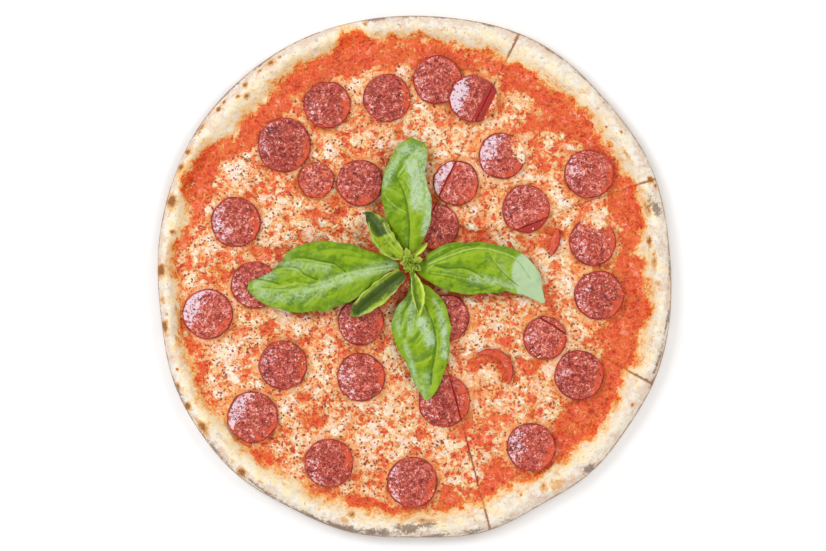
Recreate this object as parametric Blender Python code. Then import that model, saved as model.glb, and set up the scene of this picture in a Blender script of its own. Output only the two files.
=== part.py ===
"""A whole pepperoni pizza with a sprig of basil on top, modelled as its separate edible pieces.

Metres, +Z up, the flat underside at z = 0, the middle of the pizza on the Z axis.
The pizza is cut by four straight-edged strokes on its right half, and the left part is uncut.
"""
import math
from collections import namedtuple

import bpy
import numpy as np
from mathutils.geometry import delaunay_2d_cdt

MM = 0.001
PX = 0.58 * MM
MIDDLE_PX = (414.5, 276.5)

# Radii of the pizza's outer edge, one for each ten degrees anticlockwise from +X
EDGE_RADII_MM = (149.3, 149.5, 151.1, 151.7, 151.2, 152.4, 154.0, 153.6, 152.2, 151.7, 152.0, 152.6,
                 152.9, 152.8, 152.9, 152.3, 151.1, 150.2, 149.3, 149.4, 152.0, 153.8, 154.5, 154.6,
                 152.8, 153.1, 152.9, 151.8, 153.4, 153.4, 151.8, 153.2, 152.5, 152.0, 152.0, 150.6)
# Radii of the foot of the rim, one for each fifteen degrees
FOOT_RADII_MM = (138.6, 137.2, 137.6, 136.4, 136.8, 137.4, 139.4, 138.8, 139.3, 137.8, 141.0, 141.6,
                 139.7, 139.7, 140.2, 140.0, 140.3, 138.8, 138.0, 135.8, 134.6, 135.3, 136.2, 138.0)
# Radii of the cheese's edge, one for each fifteen degrees
CHEESE_RADII_MM = (117, 118, 121, 119, 121, 120, 119, 120, 122, 121, 126, 129,
                   131, 133, 136, 135, 133, 131, 129, 125, 124, 119, 118, 116)

BASE_THICK = 4.0 * MM
RIM_HEIGHT = 12.6 * MM
RIM_UNEVEN = 1.3 * MM
UNDERSIDE_INSET = 2.5 * MM
RIM_STEPS = (0.0, 0.13, 0.32, 0.52, 0.70, 0.86, 1.0)
RIM_PROFILE = (0.0, 0.22, 0.72, 1.0, 0.96, 0.70, 0.0)
RIM_DIP_DEG = 103.0
RIM_DIP_WIDE_DEG = 3.2
RIM_DIP_DEEP = 5.0 * MM
LAYER_GAP = 0.3 * MM
CUT_GAP = 0.44 * MM
SAUCE_THICK = 1.0 * MM
SAUCE_RELIEF = 1.1 * MM
SAUCE_EDGE_IN = 0.5 * MM
CHEESE_THICK = 1.6 * MM
CHEESE_RELIEF = 1.0 * MM
CHEESE_EDGE_THICK = 0.6 * MM
CHEESE_WAVE = 2.2 * MM
CHEESE_SPACING = 7.6 * MM
CUT_CLEAR = 2.5 * MM
EDGE_CLEAR = 0.8 * MM
AROUND = 132
SEED = 11

PEPPERONI_THICK = 1.5 * MM
PEPPERONI_CUP = 0.5 * MM
PEPPERONI_SIDES = 16
LEAST_SIDE = 1.3 * MM
LEAF_THICK = 0.5 * MM
LEAF_ALONG = 13
LEAF_ACROSS = 6
BUD_RADIUS = 6.6 * MM
BUD_PX = (409.5, 263.5)
BUD_LOW = 13.0 * MM
BUD_TOP = 24.5 * MM
STEM_RADIUS = 2.4 * MM

# Each cut as the photo shows it, from the middle out past the rim
HUB_PX = (412, 262)
CUTS_PX = {
    "lower": (HUB_PX, (453.6, 391), (496, 552)),
    "lower_right": (HUB_PX, (541, 318), (612, 362), (680, 399)),
    "right": (HUB_PX, (524, 227), (588, 201), (680, 171)),
    "upper": (HUB_PX, (437, 200), (470, 133), (530, 12)),
}
# Each piece of pizza lies anticlockwise of its first cut, up to its second
PIECES = {
    "slice_lower": ("lower", "lower_right"),
    "slice_right": ("lower_right", "right"),
    "slice_upper": ("right", "upper"),
    "uncut_rest": ("upper", "lower"),
}

Round = namedtuple("Round", "name px wide_mm cut rise lean_deg")
ROUNDS = (
    Round("pepperoni_01", (387, 98), 28.4, None, 0, 0),
    Round("pepperoni_02", (327, 105), 27.8, None, 0, 0),
    Round("pepperoni_03", (284, 145), 31.9, None, 0, 0),
    Round("pepperoni_04", (437, 80), 29.0, None, 0, 0),
    Round("pepperoni_05", (473, 99), 28.4, "upper", 3.0, 152),
    Round("pepperoni_06", (502, 156), 27.8, None, 0, 0),
    Round("pepperoni_07", (589, 174), 29.0, None, 0, 0),
    Round("pepperoni_08", (456, 183), 27.4, "upper", 0, 0),
    Round("pepperoni_09", (360, 183), 27.6, None, 0, 0),
    Round("pepperoni_10", (316, 180), 21.4, None, 0, 0),
    Round("pepperoni_11", (236, 222), 29.6, None, 0, 0),
    Round("pepperoni_12", (526, 209), 28.6, "right", 0, 0),
    Round("pepperoni_14", (593, 242), 27.8, None, 0, 0),
    Round("pepperoni_15", (599, 295), 29.0, None, 0, 0),
    Round("pepperoni_16", (208, 314), 29.8, None, 0, 0),
    Round("pepperoni_17", (255, 285), 28.4, None, 0, 0),
    Round("pepperoni_18", (545, 338), 26.0, "lower_right", 0, 0),
    Round("pepperoni_19", (579, 375), 29.4, None, 0, 0),
    Round("pepperoni_20", (283, 365), 29.0, None, 0, 0),
    Round("pepperoni_21", (361, 377), 28.6, None, 0, 0),
    Round("pepperoni_22", (253, 417), 30.4, None, 0, 0),
    Round("pepperoni_23", (329, 463), 29.0, None, 0, 0),
    Round("pepperoni_24", (412, 482), 30.0, None, 0, 0),
    Round("pepperoni_25", (444, 401), 30.6, "lower", 0, 0),
    Round("pepperoni_26", (531, 447), 29.0, None, 0, 0),
    Round("pepperoni_28", (361, 322), 27.4, None, 0, 0),
    Round("pepperoni_29", (446, 318), 27.6, "lower", 0, 0),
    Round("pepperoni_30", (436, 227), 27.0, "upper", 0, 0),
    Round("pepperoni_31", (503, 276), 24.6, None, 0, 0),
)
# Rounds that the cheese covers but for a bent strip: middle, radius, from and to in degrees, width
Crescent = namedtuple("Crescent", "name px radius_mm start_deg end_deg wide_mm")
CRESCENTS = (
    Crescent("pepperoni_13", (536, 237), 14.2, -52, 22, 5.6),
    Crescent("pepperoni_27", (491, 371), 13.0, -38, 128, 5.0),
)

# Each leaf: its middle line as photo position and height in mm, half widths in mm along it, edge droop in mm
Leaf = namedtuple("Leaf", "name line half_mm droop_mm tone")
LEAVES = (
    Leaf("basil_leaf_top",
         ((408.9, 254.9, 15.5), (407, 229, 19), (407, 200, 20.5), (406, 175, 20.5), (409, 155, 17), (412, 141, 12.2)),
         (1.2, 9.4, 14.2, 13.4, 10.8, 6.0), 4.0, "basil_green"),
    Leaf("basil_leaf_left",
         ((401, 264.6, 15.5), (363, 270, 18.5), (330, 276, 19), (300, 279, 17), (272, 282, 13.5), (249, 283, 11.6)),
         (1.2, 13.4, 20.4, 19.6, 10.6, 0.8), 4.2, "basil_green"),
    Leaf("basil_leaf_right",
         ((418.1, 264.1, 15.5), (443, 266, 18.5), (471, 267, 19.5), (500, 271, 17), (523, 281, 13.8), (545, 303, 11.6)),
         (1.2, 12.4, 14.8, 14.2, 11.0, 0.8), 3.2, "basil_green"),
    Leaf("basil_leaf_bottom",
         ((410.7, 268.9, 13.6), (417, 297, 15.6), (421, 322, 16.6), (424, 345, 16), (426, 370, 13.4), (426, 398, 11.4)),
         (1.2, 11.6, 16.0, 15.4, 10.4, 0.8), 2.6, "basil_green"),
    Leaf("basil_small_top_left",
         ((402, 254.7, 19.2), (392, 243, 19.0), (382, 232, 17), (373, 222, 14.5), (365, 213, 12.5)),
         (1.0, 3.6, 5.2, 4.2, 0.6), -1.6, "basil_dark"),
    Leaf("basil_small_bottom_left",
         ((401.6, 271.4, 20.2), (389, 283, 20.6), (377, 294, 18.6), (364, 304, 15.2), (351, 314, 12.6)),
         (1.0, 4.6, 6.0, 4.6, 0.6), -1.8, "basil_dark"),
    Leaf("basil_small_bottom",
         ((412.8, 273.9, 20.6), (416.5, 286, 21.2), (420, 298, 20.4), (421, 307, 19.2), (420, 314, 18.2)),
         (1.0, 3.0, 3.4, 2.6, 0.5), -0.7, "basil_light"),
    Leaf("basil_tiny_top_right",
         ((415.4, 255.5, 21.2), (418, 252, 21.8), (421, 249, 21.6), (424, 246, 21), (426, 244, 20.4)),
         (0.8, 1.5, 1.6, 1.2, 0.4), -0.3, "basil_light"),
)

SAUCE_LOW = BASE_THICK + LAYER_GAP
CHEESE_LOW = SAUCE_LOW + SAUCE_THICK + LAYER_GAP
CHEESE_HIGH = CHEESE_LOW + CHEESE_THICK
PEPPERONI_LOW = CHEESE_HIGH + LAYER_GAP

COLOURS = {
    "crust_baked": ((0.84, 0.62, 0.40, 1.0), 0.75),
    "tomato_sauce": ((0.72, 0.13, 0.04, 1.0), 0.30),
    "melted_cheese": ((0.84, 0.52, 0.26, 1.0), 0.38),
    "pepperoni_meat": ((0.46, 0.09, 0.06, 1.0), 0.40),
    "basil_green": ((0.20, 0.35, 0.03, 1.0), 0.42),
    "basil_dark": ((0.09, 0.18, 0.02, 1.0), 0.48),
    "basil_light": ((0.32, 0.47, 0.06, 1.0), 0.42),
}


def metres(px):
    """A place in the photo as x and y in metres from the pizza's middle."""
    return np.array(((px[0] - MIDDLE_PX[0]) * PX, (MIDDLE_PX[1] - px[1]) * PX))


def around(radii_mm, angle):
    """A smooth closed curve's radius at any angle, through evenly spaced radii."""
    values = np.asarray(radii_mm, float) * MM
    waves = np.fft.rfft(values) / len(values)
    order = np.arange(len(waves))
    weight = np.where(order == 0, 1.0, 2.0)
    if len(values) % 2 == 0:
        weight[-1] = 1.0
    turn = np.exp(1j * np.multiply.outer(np.asarray(angle, float), order))
    return (turn * (waves * weight)).sum(axis=-1).real


def smooth_noise(x, y, wavelength, seed):
    """A gentle random surface between about -1 and 1, as a sum of waves in many directions."""
    draw = np.random.default_rng(seed)
    total = np.zeros(np.shape(x))
    count = 14
    for _ in range(count):
        heading = draw.uniform(0, 2 * math.pi)
        length = wavelength * draw.uniform(0.7, 1.5)
        phase = draw.uniform(0, 2 * math.pi)
        total = total + np.cos((x * math.cos(heading) + y * math.sin(heading)) * 2 * math.pi / length + phase)
    return total / math.sqrt(count) / 1.5


def edge_radius(angle):
    return around(EDGE_RADII_MM, angle)


def foot_radius(angle):
    return around(FOOT_RADII_MM, angle)


def sauce_radius(angle):
    return foot_radius(angle) - SAUCE_EDGE_IN


def cheese_radius(angle):
    """The cheese's uneven edge, which reaches out under a round that lies across it."""
    angle = np.asarray(angle, float)
    radius = around(CHEESE_RADII_MM, angle)
    lobes = np.cos(angle * 17 + 1.0) + 0.8 * np.cos(angle * 26 + 4.0) + 0.6 * np.cos(angle * 37 + 2.0)
    radius = radius + CHEESE_WAVE * lobes / 1.6
    for item in ROUNDS:
        x, y = metres(item.px)
        away = math.hypot(x, y)
        reach = item.wide_mm * MM / 2 - 2.5 * MM
        turn = angle - math.atan2(y, x)
        inside = reach ** 2 - (away * np.sin(turn)) ** 2
        far = away * np.cos(turn) + np.sqrt(np.maximum(inside, 0))
        radius = np.where((inside > 0) & (np.cos(turn) > 0), np.maximum(radius, far), radius)
    return np.minimum(radius, sauce_radius(angle) - 1.2 * MM)


def dough_height(x, y):
    """The dough's top: a flat floor and a puffed rim with bumps and one dip."""
    angle = np.arctan2(y, x)
    radius = np.hypot(x, y)
    inner = foot_radius(angle)
    share = np.clip((radius - inner) / (edge_radius(angle) - inner), 0, 1)
    rise = RIM_HEIGHT - BASE_THICK + RIM_UNEVEN * smooth_noise(x, y, 55 * MM, SEED)
    rise = rise + 0.8 * MM * smooth_noise(x, y, 17 * MM, SEED + 1)
    off = np.degrees(np.angle(np.exp(1j * (angle - math.radians(RIM_DIP_DEG)))))
    rise = rise - RIM_DIP_DEEP * np.exp(-(off / RIM_DIP_WIDE_DEG) ** 2)
    return BASE_THICK + rise * np.interp(share, RIM_STEPS, RIM_PROFILE)


def sauce_height(x, y):
    """The sauce's top: flat under the cheese and pulpy in the band that shows."""
    angle = np.arctan2(y, x)
    radius = np.hypot(x, y)
    inner = cheese_radius(angle) + 1.5 * MM
    inward = sauce_radius(angle) - radius
    band = np.clip((radius - inner) / (2 * MM), 0, 1) * np.clip(inward / (2 * MM), 0, 1)
    pulp = 0.6 + 0.4 * smooth_noise(x, y, 14 * MM, SEED + 2)
    return SAUCE_LOW + SAUCE_THICK - 0.1 * MM + SAUCE_RELIEF * band * np.clip(pulp, 0, 1)


def cheese_height(x, y):
    """The cheese's top: melted lumps and hollows, thinner at its edge."""
    angle = np.arctan2(y, x)
    inward = np.clip((cheese_radius(angle) - np.hypot(x, y)) / (4 * MM), 0, 1)
    lumps = np.clip(0.5 + 0.9 * smooth_noise(x, y, 19 * MM, SEED + 3), 0, 1)
    full = CHEESE_THICK - CHEESE_RELIEF * lumps
    return CHEESE_LOW + CHEESE_EDGE_THICK + (full - CHEESE_EDGE_THICK) * inward


def offset_line(points, distance):
    """A bent line moved to its left by a distance, its corners kept sharp."""
    points = [np.asarray(p, float) for p in points]
    heads = [(b - a) / np.linalg.norm(b - a) for a, b in zip(points, points[1:])]
    lefts = [np.array((-h[1], h[0])) for h in heads]
    moved = [points[0] + lefts[0] * distance]
    for k in range(1, len(points) - 1):
        middle = lefts[k - 1] + lefts[k]
        moved.append(points[k] + middle * distance / (1 + lefts[k - 1] @ lefts[k]))
    moved.append(points[-1] + lefts[-1] * distance)
    return moved


def crossing(start, head, other, other_head):
    """Where two straight lines meet."""
    shares = np.linalg.solve(np.array((head, -other_head)).T, other - start)
    return start + head * shares[0]


def trim(line, radius_of):
    """The distance along a bent line at which it leaves a closed curve about the middle."""
    lengths = np.concatenate(([0], np.cumsum([np.linalg.norm(b - a) for a, b in zip(line, line[1:])])))
    low, high = 0.0, lengths[-1]
    for _ in range(50):
        half = (low + high) / 2
        x, y = along(line, lengths, half)
        if math.hypot(x, y) < radius_of(math.atan2(y, x)):
            low = half
        else:
            high = half
    return low


def along(line, lengths, distance):
    """The point at a distance along a bent line."""
    x = np.interp(distance, lengths, [p[0] for p in line])
    y = np.interp(distance, lengths, [p[1] for p in line])
    return np.array((x, y))


def cut_sides(piece):
    """The two straight-edged sides of one piece, each from its tip outwards."""
    first, last = PIECES[piece]
    start = offset_line([metres(p) for p in CUTS_PX[first]], CUT_GAP / 2)
    end = offset_line([metres(p) for p in CUTS_PX[last]], -CUT_GAP / 2)
    tip = crossing(start[0], start[1] - start[0], end[0], end[1] - end[0])
    start[0] = tip
    end[0] = tip
    return start, end


def side_points(line, radius_of, inset_of, rings, spacing):
    """Points along a cut side, with the bottom's points, which stop short of the top's last."""
    lengths = np.concatenate(([0], np.cumsum([np.linalg.norm(b - a) for a, b in zip(line, line[1:])])))
    last = trim(line, radius_of)
    last_low = trim(line, inset_of)
    marks = set(np.linspace(0, last_low, max(3, round(last_low / spacing)))[:-1])
    marks |= {float(d) for d in lengths[1:-1] if d < last_low - MM}
    own = [mark for mark in (trim(line, ring) for ring in rings) if mark < last_low - MM]
    marks = {mark for mark in marks if all(abs(mark - other) > 1.2 * MM for other in own)}
    kept = sorted(marks | set(own))
    top = [along(line, lengths, m) for m in kept] + [along(line, lengths, last)]
    low = [along(line, lengths, m) for m in kept] + [along(line, lengths, last_low)]
    return top, low


def inside_polygon(points, polygon):
    """Which points lie inside a closed polygon."""
    x, y = points[:, 0], points[:, 1]
    inside = np.zeros(len(points), bool)
    for a, b in zip(polygon, np.roll(polygon, -1, axis=0)):
        spans = (a[1] > y) != (b[1] > y)
        rise = np.where(b[1] == a[1], 1.0, b[1] - a[1])
        inside ^= spans & (x < (b[0] - a[0]) * (y - a[1]) / rise + a[0])
    return inside


def distance_to_line(points, line):
    """Each point's distance to a bent line."""
    best = np.full(len(points), np.inf)
    for a, b in zip(line, line[1:]):
        run = b - a
        share = np.clip(((points - a) @ run) / (run @ run), 0, 1)
        best = np.minimum(best, np.linalg.norm(points - a - share[:, None] * run, axis=1))
    return best


def add_object(name, vertices, faces, material):
    """One closed body with its own material."""
    mesh = bpy.data.meshes.new(name)
    mesh.from_pydata([tuple(map(float, v)) for v in vertices], [], faces)
    mesh.update()
    body = bpy.data.objects.new(name, mesh)
    bpy.context.scene.collection.objects.link(body)
    mesh.materials.append(MATERIALS[material])
    return body


def layer_piece(name, piece, radius_of, inset, height_of, low, rings, scatter, spacing, material):
    """One cut piece of a layer: a heightfield over its outline, upright cut sides and a flat underside."""
    first, last = cut_sides(piece)

    def inset_of(angle):
        return radius_of(angle) - inset

    first_top, first_low = side_points(first, radius_of, inset_of, rings, spacing)
    last_top, last_low = side_points(last, radius_of, inset_of, rings, spacing)
    begin = math.atan2(first_top[-1][1], first_top[-1][0])
    end = math.atan2(last_top[-1][1], last_top[-1][0])
    end = begin + (end - begin) % (2 * math.pi)
    steps = max(4, round(AROUND * (end - begin) / (2 * math.pi)))
    angles = np.linspace(begin, end, steps + 1)[1:-1]
    outward = np.stack((np.cos(angles), np.sin(angles)), axis=1)
    arc_top = outward * radius_of(angles)[:, None]
    arc_low = outward * inset_of(angles)[:, None]
    top_loop = np.array(first_top + list(arc_top) + last_top[:0:-1])
    low_loop = np.array(first_low + list(arc_low) + last_low[:0:-1])
    scatter = np.concatenate([scatter] + [outward * ring(angles)[:, None] for ring in rings])
    closed = list(top_loop) + [top_loop[0]]
    keep = inside_polygon(scatter, top_loop)
    keep &= distance_to_line(scatter, closed) > EDGE_CLEAR
    keep &= distance_to_line(scatter, first) > CUT_CLEAR
    keep &= distance_to_line(scatter, last) > CUT_CLEAR
    points = np.concatenate((top_loop, scatter[keep]))
    count = len(top_loop)
    made, _, triangles, origins, _, _ = delaunay_2d_cdt(
        [tuple(p) for p in points], [], [list(range(count))], 1, 1e-7)
    flat = np.array([tuple(v) for v in made])
    top = np.column_stack((flat, height_of(flat[:, 0], flat[:, 1])))
    place = {}
    for made_index, sources in enumerate(origins):
        for source in sources:
            place[source] = made_index
    rim = [place[k] for k in range(count)]
    base = len(top)
    bottom = np.column_stack((low_loop, np.full(count, low)))
    faces = [tuple(t) for t in triangles]
    for k in range(count):
        after = (k + 1) % count
        faces.append((rim[after], rim[k], base + k, base + after))
    faces.append(tuple(range(base + count - 1, base - 1, -1)))
    return add_object(name, np.concatenate((top, bottom)), faces, material)


def cheese_scatter():
    """Staggered points over the whole cheese, each moved a little."""
    draw = np.random.default_rng(SEED)
    reach = 140 * MM
    rows = np.arange(-reach, reach, CHEESE_SPACING * 0.87)
    points = []
    for k, y in enumerate(rows):
        x = np.arange(-reach, reach, CHEESE_SPACING) + (k % 2) * CHEESE_SPACING / 2
        points.append(np.stack((x, np.full(len(x), y)), axis=1))
    points = np.concatenate(points)
    points = points + draw.uniform(-0.22, 0.22, points.shape) * CHEESE_SPACING
    angle = np.arctan2(points[:, 1], points[:, 0])
    return points[np.hypot(points[:, 0], points[:, 1]) < cheese_radius(angle) - 2 * MM]


def clip_left(polygon, a, b):
    """The part of a convex polygon that lies left of the line from a to b."""
    head = b - a
    kept = []
    for p, q in zip(polygon, np.roll(polygon, -1, axis=0)):
        side_p = head[0] * (p[1] - a[1]) - head[1] * (p[0] - a[0])
        side_q = head[0] * (q[1] - a[1]) - head[1] * (q[0] - a[0])
        if side_p >= 0:
            kept.append(p)
        if side_p * side_q < 0:
            kept.append(p + (q - p) * side_p / (side_p - side_q))
    return np.array(kept)


def drop_close(polygon, least):
    """A polygon without corners that lie closer together than the least distance."""
    kept = []
    for p in polygon:
        if not kept or np.linalg.norm(p - kept[-1]) > least:
            kept.append(p)
    if np.linalg.norm(kept[0] - kept[-1]) <= least:
        kept.pop()
    return np.array(kept)


def pepperoni_slice(item, outline, name):
    """A thin cured slice: flat below, slightly cupped above, its upper rim a little uneven."""
    middle = metres(item.px)
    centre = outline.mean(axis=0)
    radius = item.wide_mm * MM / 2
    lean = np.array((math.cos(math.radians(item.lean_deg)), math.sin(math.radians(item.lean_deg))))
    rounds = ((0.96, 0.0), (1.0, 0.5), (0.965, 1.0), (0.80, 0.86))
    vertices = []
    for scale, level in rounds:
        loop = centre + (outline - centre) * scale
        angle = np.arctan2(loop[:, 1] - middle[1], loop[:, 0] - middle[0])
        uneven = PEPPERONI_CUP * (0.6 + 0.4 * np.cos(2 * angle + item.px[0]) * np.sin(angle + item.px[1]))
        height = PEPPERONI_LOW + PEPPERONI_THICK * level
        if level == 1.0:
            height = height + uneven
        tilt = item.rise * MM * (0.5 + ((loop - middle) @ lean) / (2 * radius))
        vertices.append(np.column_stack((loop, height + tilt)))
    count = len(outline)
    tilt = item.rise * MM * (0.5 + ((centre - middle) @ lean) / (2 * radius))
    top = np.array(((centre[0], centre[1], PEPPERONI_LOW + PEPPERONI_THICK * 0.8 + tilt),))
    vertices = np.concatenate(vertices + [top])
    faces = [tuple(range(count - 1, -1, -1))]
    for ring in range(len(rounds) - 1):
        for k in range(count):
            after = (k + 1) % count
            a, b = ring * count + k, ring * count + after
            faces.append((a, b, b + count))
            faces.append((a, b + count, a + count))
    crown = (len(rounds) - 1) * count
    for k in range(count):
        faces.append((crown + k, crown + (k + 1) % count, len(vertices) - 1))
    add_object(name, vertices, faces, "pepperoni_meat")


def nearest_stretch(point, line):
    """The straight stretch of a bent line that lies nearest to a point."""
    stretches = list(zip(line, line[1:]))
    away = [distance_to_line(point[None, :], stretch)[0] for stretch in stretches]
    return stretches[int(np.argmin(away))]


def pepperoni_pieces(item):
    """A slice, or the two halves that a cut leaves."""
    turn = np.arange(PEPPERONI_SIDES) * 2 * math.pi / PEPPERONI_SIDES + item.px[1]
    wave = 1 - 0.012 * (1 + np.cos(3 * turn + item.px[0]))
    radius = item.wide_mm * MM / 2 * wave
    outline = metres(item.px) + np.stack((np.cos(turn) * radius, np.sin(turn) * radius), axis=1)
    if item.cut is None:
        pepperoni_slice(item, outline, item.name)
        return
    line = [metres(p) for p in CUTS_PX[item.cut]]
    parts = {"left": offset_line(line, CUT_GAP / 2), "right": offset_line(line, -CUT_GAP / 2)[::-1]}
    for side, edge in parts.items():
        a, b = nearest_stretch(metres(item.px), edge)
        half = drop_close(clip_left(outline, a, b), LEAST_SIDE)
        pepperoni_slice(item, half, f"{item.name}_{side}")


def pepperoni_crescent(item):
    """The bent strip that shows of a slice under the cheese."""
    count = 11
    share = np.linspace(0, 1, count)
    angle = np.radians(item.start_deg + (item.end_deg - item.start_deg) * share)
    width = item.wide_mm * MM * (0.25 + 0.75 * np.sin(np.pi * share) ** 0.7)
    middle = metres(item.px)
    sections = ((1.0, 0.0), (0.0, 0.0), (0.0, 0.75), (0.5, 1.0), (1.0, 0.85))
    vertices = []
    for inward, level in sections:
        radius = item.radius_mm * MM - width * inward
        x = middle[0] + radius * np.cos(angle)
        y = middle[1] + radius * np.sin(angle)
        vertices.append(np.column_stack((x, y, np.full(count, PEPPERONI_LOW + PEPPERONI_THICK * level))))
    vertices = np.concatenate(vertices)
    sides = len(sections)
    faces = []
    for k in range(sides):
        for j in range(count - 1):
            a, b = k * count + j, ((k + 1) % sides) * count + j
            faces.append((a, a + 1, b + 1))
            faces.append((a, b + 1, b))
    faces.append(tuple(k * count for k in range(sides)))
    faces.append(tuple(k * count + count - 1 for k in range(sides - 1, -1, -1)))
    add_object(item.name, vertices, faces, "pepperoni_meat")


def smooth_curve(values, share):
    """Values along evenly spaced stations, joined smoothly through each one."""
    values = np.asarray(values, float)
    padded = np.vstack((2 * values[0] - values[1], values, 2 * values[-1] - values[-2]))
    place = share * (len(values) - 1)
    index = np.clip(place.astype(int), 0, len(values) - 2)
    t = (place - index)[:, None]
    a, b, c, d = (padded[index + k] for k in range(4))
    bend = (2 * a - 5 * b + 4 * c - d) * t ** 2 + (3 * b - 3 * c + d - a) * t ** 3
    return 0.5 * (2 * b + (c - a) * t + bend)


def basil_leaf(item, along_count, across_count):
    """A thin wavy leaf: an arched grid about a bent middle line, with a second face just below."""
    share = np.linspace(0, 1, along_count)
    stations = [(*metres(p[:2]), p[2] * MM) for p in item.line]
    middle = smooth_curve(stations, share)
    half = smooth_curve([[h * MM] for h in item.half_mm], share)[:, 0]
    half = np.maximum(half, 0.4 * MM)
    head = np.gradient(middle[:, :2], axis=0)
    head = head / np.linalg.norm(head, axis=1)[:, None]
    left = np.stack((-head[:, 1], head[:, 0]), axis=1)
    across = np.linspace(-1, 1, across_count + 1)
    flat = middle[:, None, :2] + left[:, None, :] * (half[:, None] * across)[:, :, None]
    wide = (half / half.max())[:, None]
    height = middle[:, 2:] - item.droop_mm * MM * across ** 2 * wide
    ripple = 0.45 * MM * np.sin(share[:, None] * 17 + across * 2) * np.abs(across) * wide
    groove = -0.35 * MM * np.exp(-(across / 0.12) ** 2) * wide
    height = height + ripple + groove
    top = np.concatenate((flat, height[:, :, None]), axis=2).reshape(-1, 3)
    low = top - np.array((0, 0, LEAF_THICK))
    columns = across_count + 1
    faces = []
    for i in range(along_count - 1):
        for j in range(across_count):
            a = i * columns + j
            b = a + columns
            faces.append((a, b, b + 1))
            faces.append((a, b + 1, a + 1))
    below = [tuple(reversed([k + len(top) for k in f])) for f in faces]
    loop = list(range(columns))
    loop += [i * columns + across_count for i in range(1, along_count)]
    loop += [(along_count - 1) * columns + j for j in range(across_count - 1, -1, -1)]
    loop += [i * columns for i in range(along_count - 2, 0, -1)]
    sides = []
    for k, a in enumerate(loop):
        b = loop[(k + 1) % len(loop)]
        sides.append((a, b, b + len(top)))
        sides.append((a, b + len(top), a + len(top)))
    add_object(item.name, np.concatenate((top, low)), faces + below + sides, item.tone)


def basil_bud():
    """The tight knot of young bracts at the sprig's top, on its short stem."""
    sides = 20
    levels = ((PEPPERONI_LOW, STEM_RADIUS * 0.9, 0.0), (BUD_LOW, STEM_RADIUS, 0.0), (15.6 * MM, 0.72 * BUD_RADIUS, 0.1),
              (18.4 * MM, BUD_RADIUS, 0.16), (20.6 * MM, 0.92 * BUD_RADIUS, 0.22), (22.6 * MM, 0.66 * BUD_RADIUS, 0.26),
              (24.0 * MM, 0.34 * BUD_RADIUS, 0.2))
    x0, y0 = metres(BUD_PX)
    vertices = []
    for k, (height, radius, depth) in enumerate(levels):
        turn = np.arange(sides) * 2 * math.pi / sides
        bract = 1 - depth * (0.5 + 0.5 * np.cos(turn * 5 + k * math.pi))
        vertices.append(np.column_stack((x0 + radius * bract * np.cos(turn), y0 + radius * bract * np.sin(turn),
                                         np.full(sides, height))))
    vertices = np.concatenate(vertices + [np.array(((x0, y0, BUD_TOP),))])
    faces = [tuple(range(sides - 1, -1, -1))]
    for ring in range(len(levels) - 1):
        for k in range(sides):
            a, b = ring * sides + k, ring * sides + (k + 1) % sides
            faces.append((a, b, b + sides))
            faces.append((a, b + sides, a + sides))
    crown = (len(levels) - 1) * sides
    for k in range(sides):
        faces.append((crown + k, crown + (k + 1) % sides, len(vertices) - 1))
    add_object("basil_bud", vertices, faces, "basil_light")


def make_material(name):
    """A plain surface with the food's own colour and gloss."""
    colour, rough = COLOURS[name]
    material = bpy.data.materials.new(name)
    material.use_nodes = True
    shader = material.node_tree.nodes["Principled BSDF"]
    shader.inputs["Base Color"].default_value = colour
    shader.inputs["Roughness"].default_value = rough
    shader.inputs["Metallic"].default_value = 0.0
    return material


def clear_scene():
    for body in list(bpy.data.objects):
        bpy.data.objects.remove(body, do_unlink=True)


clear_scene()
MATERIALS = {name: make_material(name) for name in COLOURS}

rim_rings = [lambda a, s=share: foot_radius(a) + s * (edge_radius(a) - foot_radius(a)) for share in RIM_STEPS[:-1]]
sauce_rings = [lambda a, s=share: cheese_radius(a) + s * (sauce_radius(a) - cheese_radius(a))
               for share in (0.05, 0.38, 0.7)]
no_points = np.zeros((0, 2))
cheese_points = cheese_scatter()

for piece_name in PIECES:
    layer_piece(f"dough_{piece_name}", piece_name, edge_radius, UNDERSIDE_INSET, dough_height, 0.0,
                rim_rings, no_points, 30 * MM, "crust_baked")
    layer_piece(f"sauce_{piece_name}", piece_name, sauce_radius, 0.2 * MM, sauce_height, SAUCE_LOW,
                sauce_rings, no_points, 25 * MM, "tomato_sauce")
    layer_piece(f"cheese_{piece_name}", piece_name, cheese_radius, 0.2 * MM, cheese_height, CHEESE_LOW,
                [], cheese_points, CHEESE_SPACING, "melted_cheese")

for round_item in ROUNDS:
    pepperoni_pieces(round_item)
for crescent_item in CRESCENTS:
    pepperoni_crescent(crescent_item)
for leaf_item in LEAVES:
    large = max(leaf_item.half_mm) > 8
    basil_leaf(leaf_item, LEAF_ALONG if large else 9, LEAF_ACROSS if large else 4)
basil_bud()
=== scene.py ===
"""Dresses the pepperoni pizza: baked rim, sauce, melted cheese, pepperoni, basil sprig and ground spices.

All lengths are metres unless a name ends in _mm. Places that come from the photo are kept as its pixels
and turned into metres by place(). Every shape is worked out as whole numpy arrays.
"""
import logging
import math
from dataclasses import dataclass, field
from enum import Enum
from typing import Callable, Optional, Sequence

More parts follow.
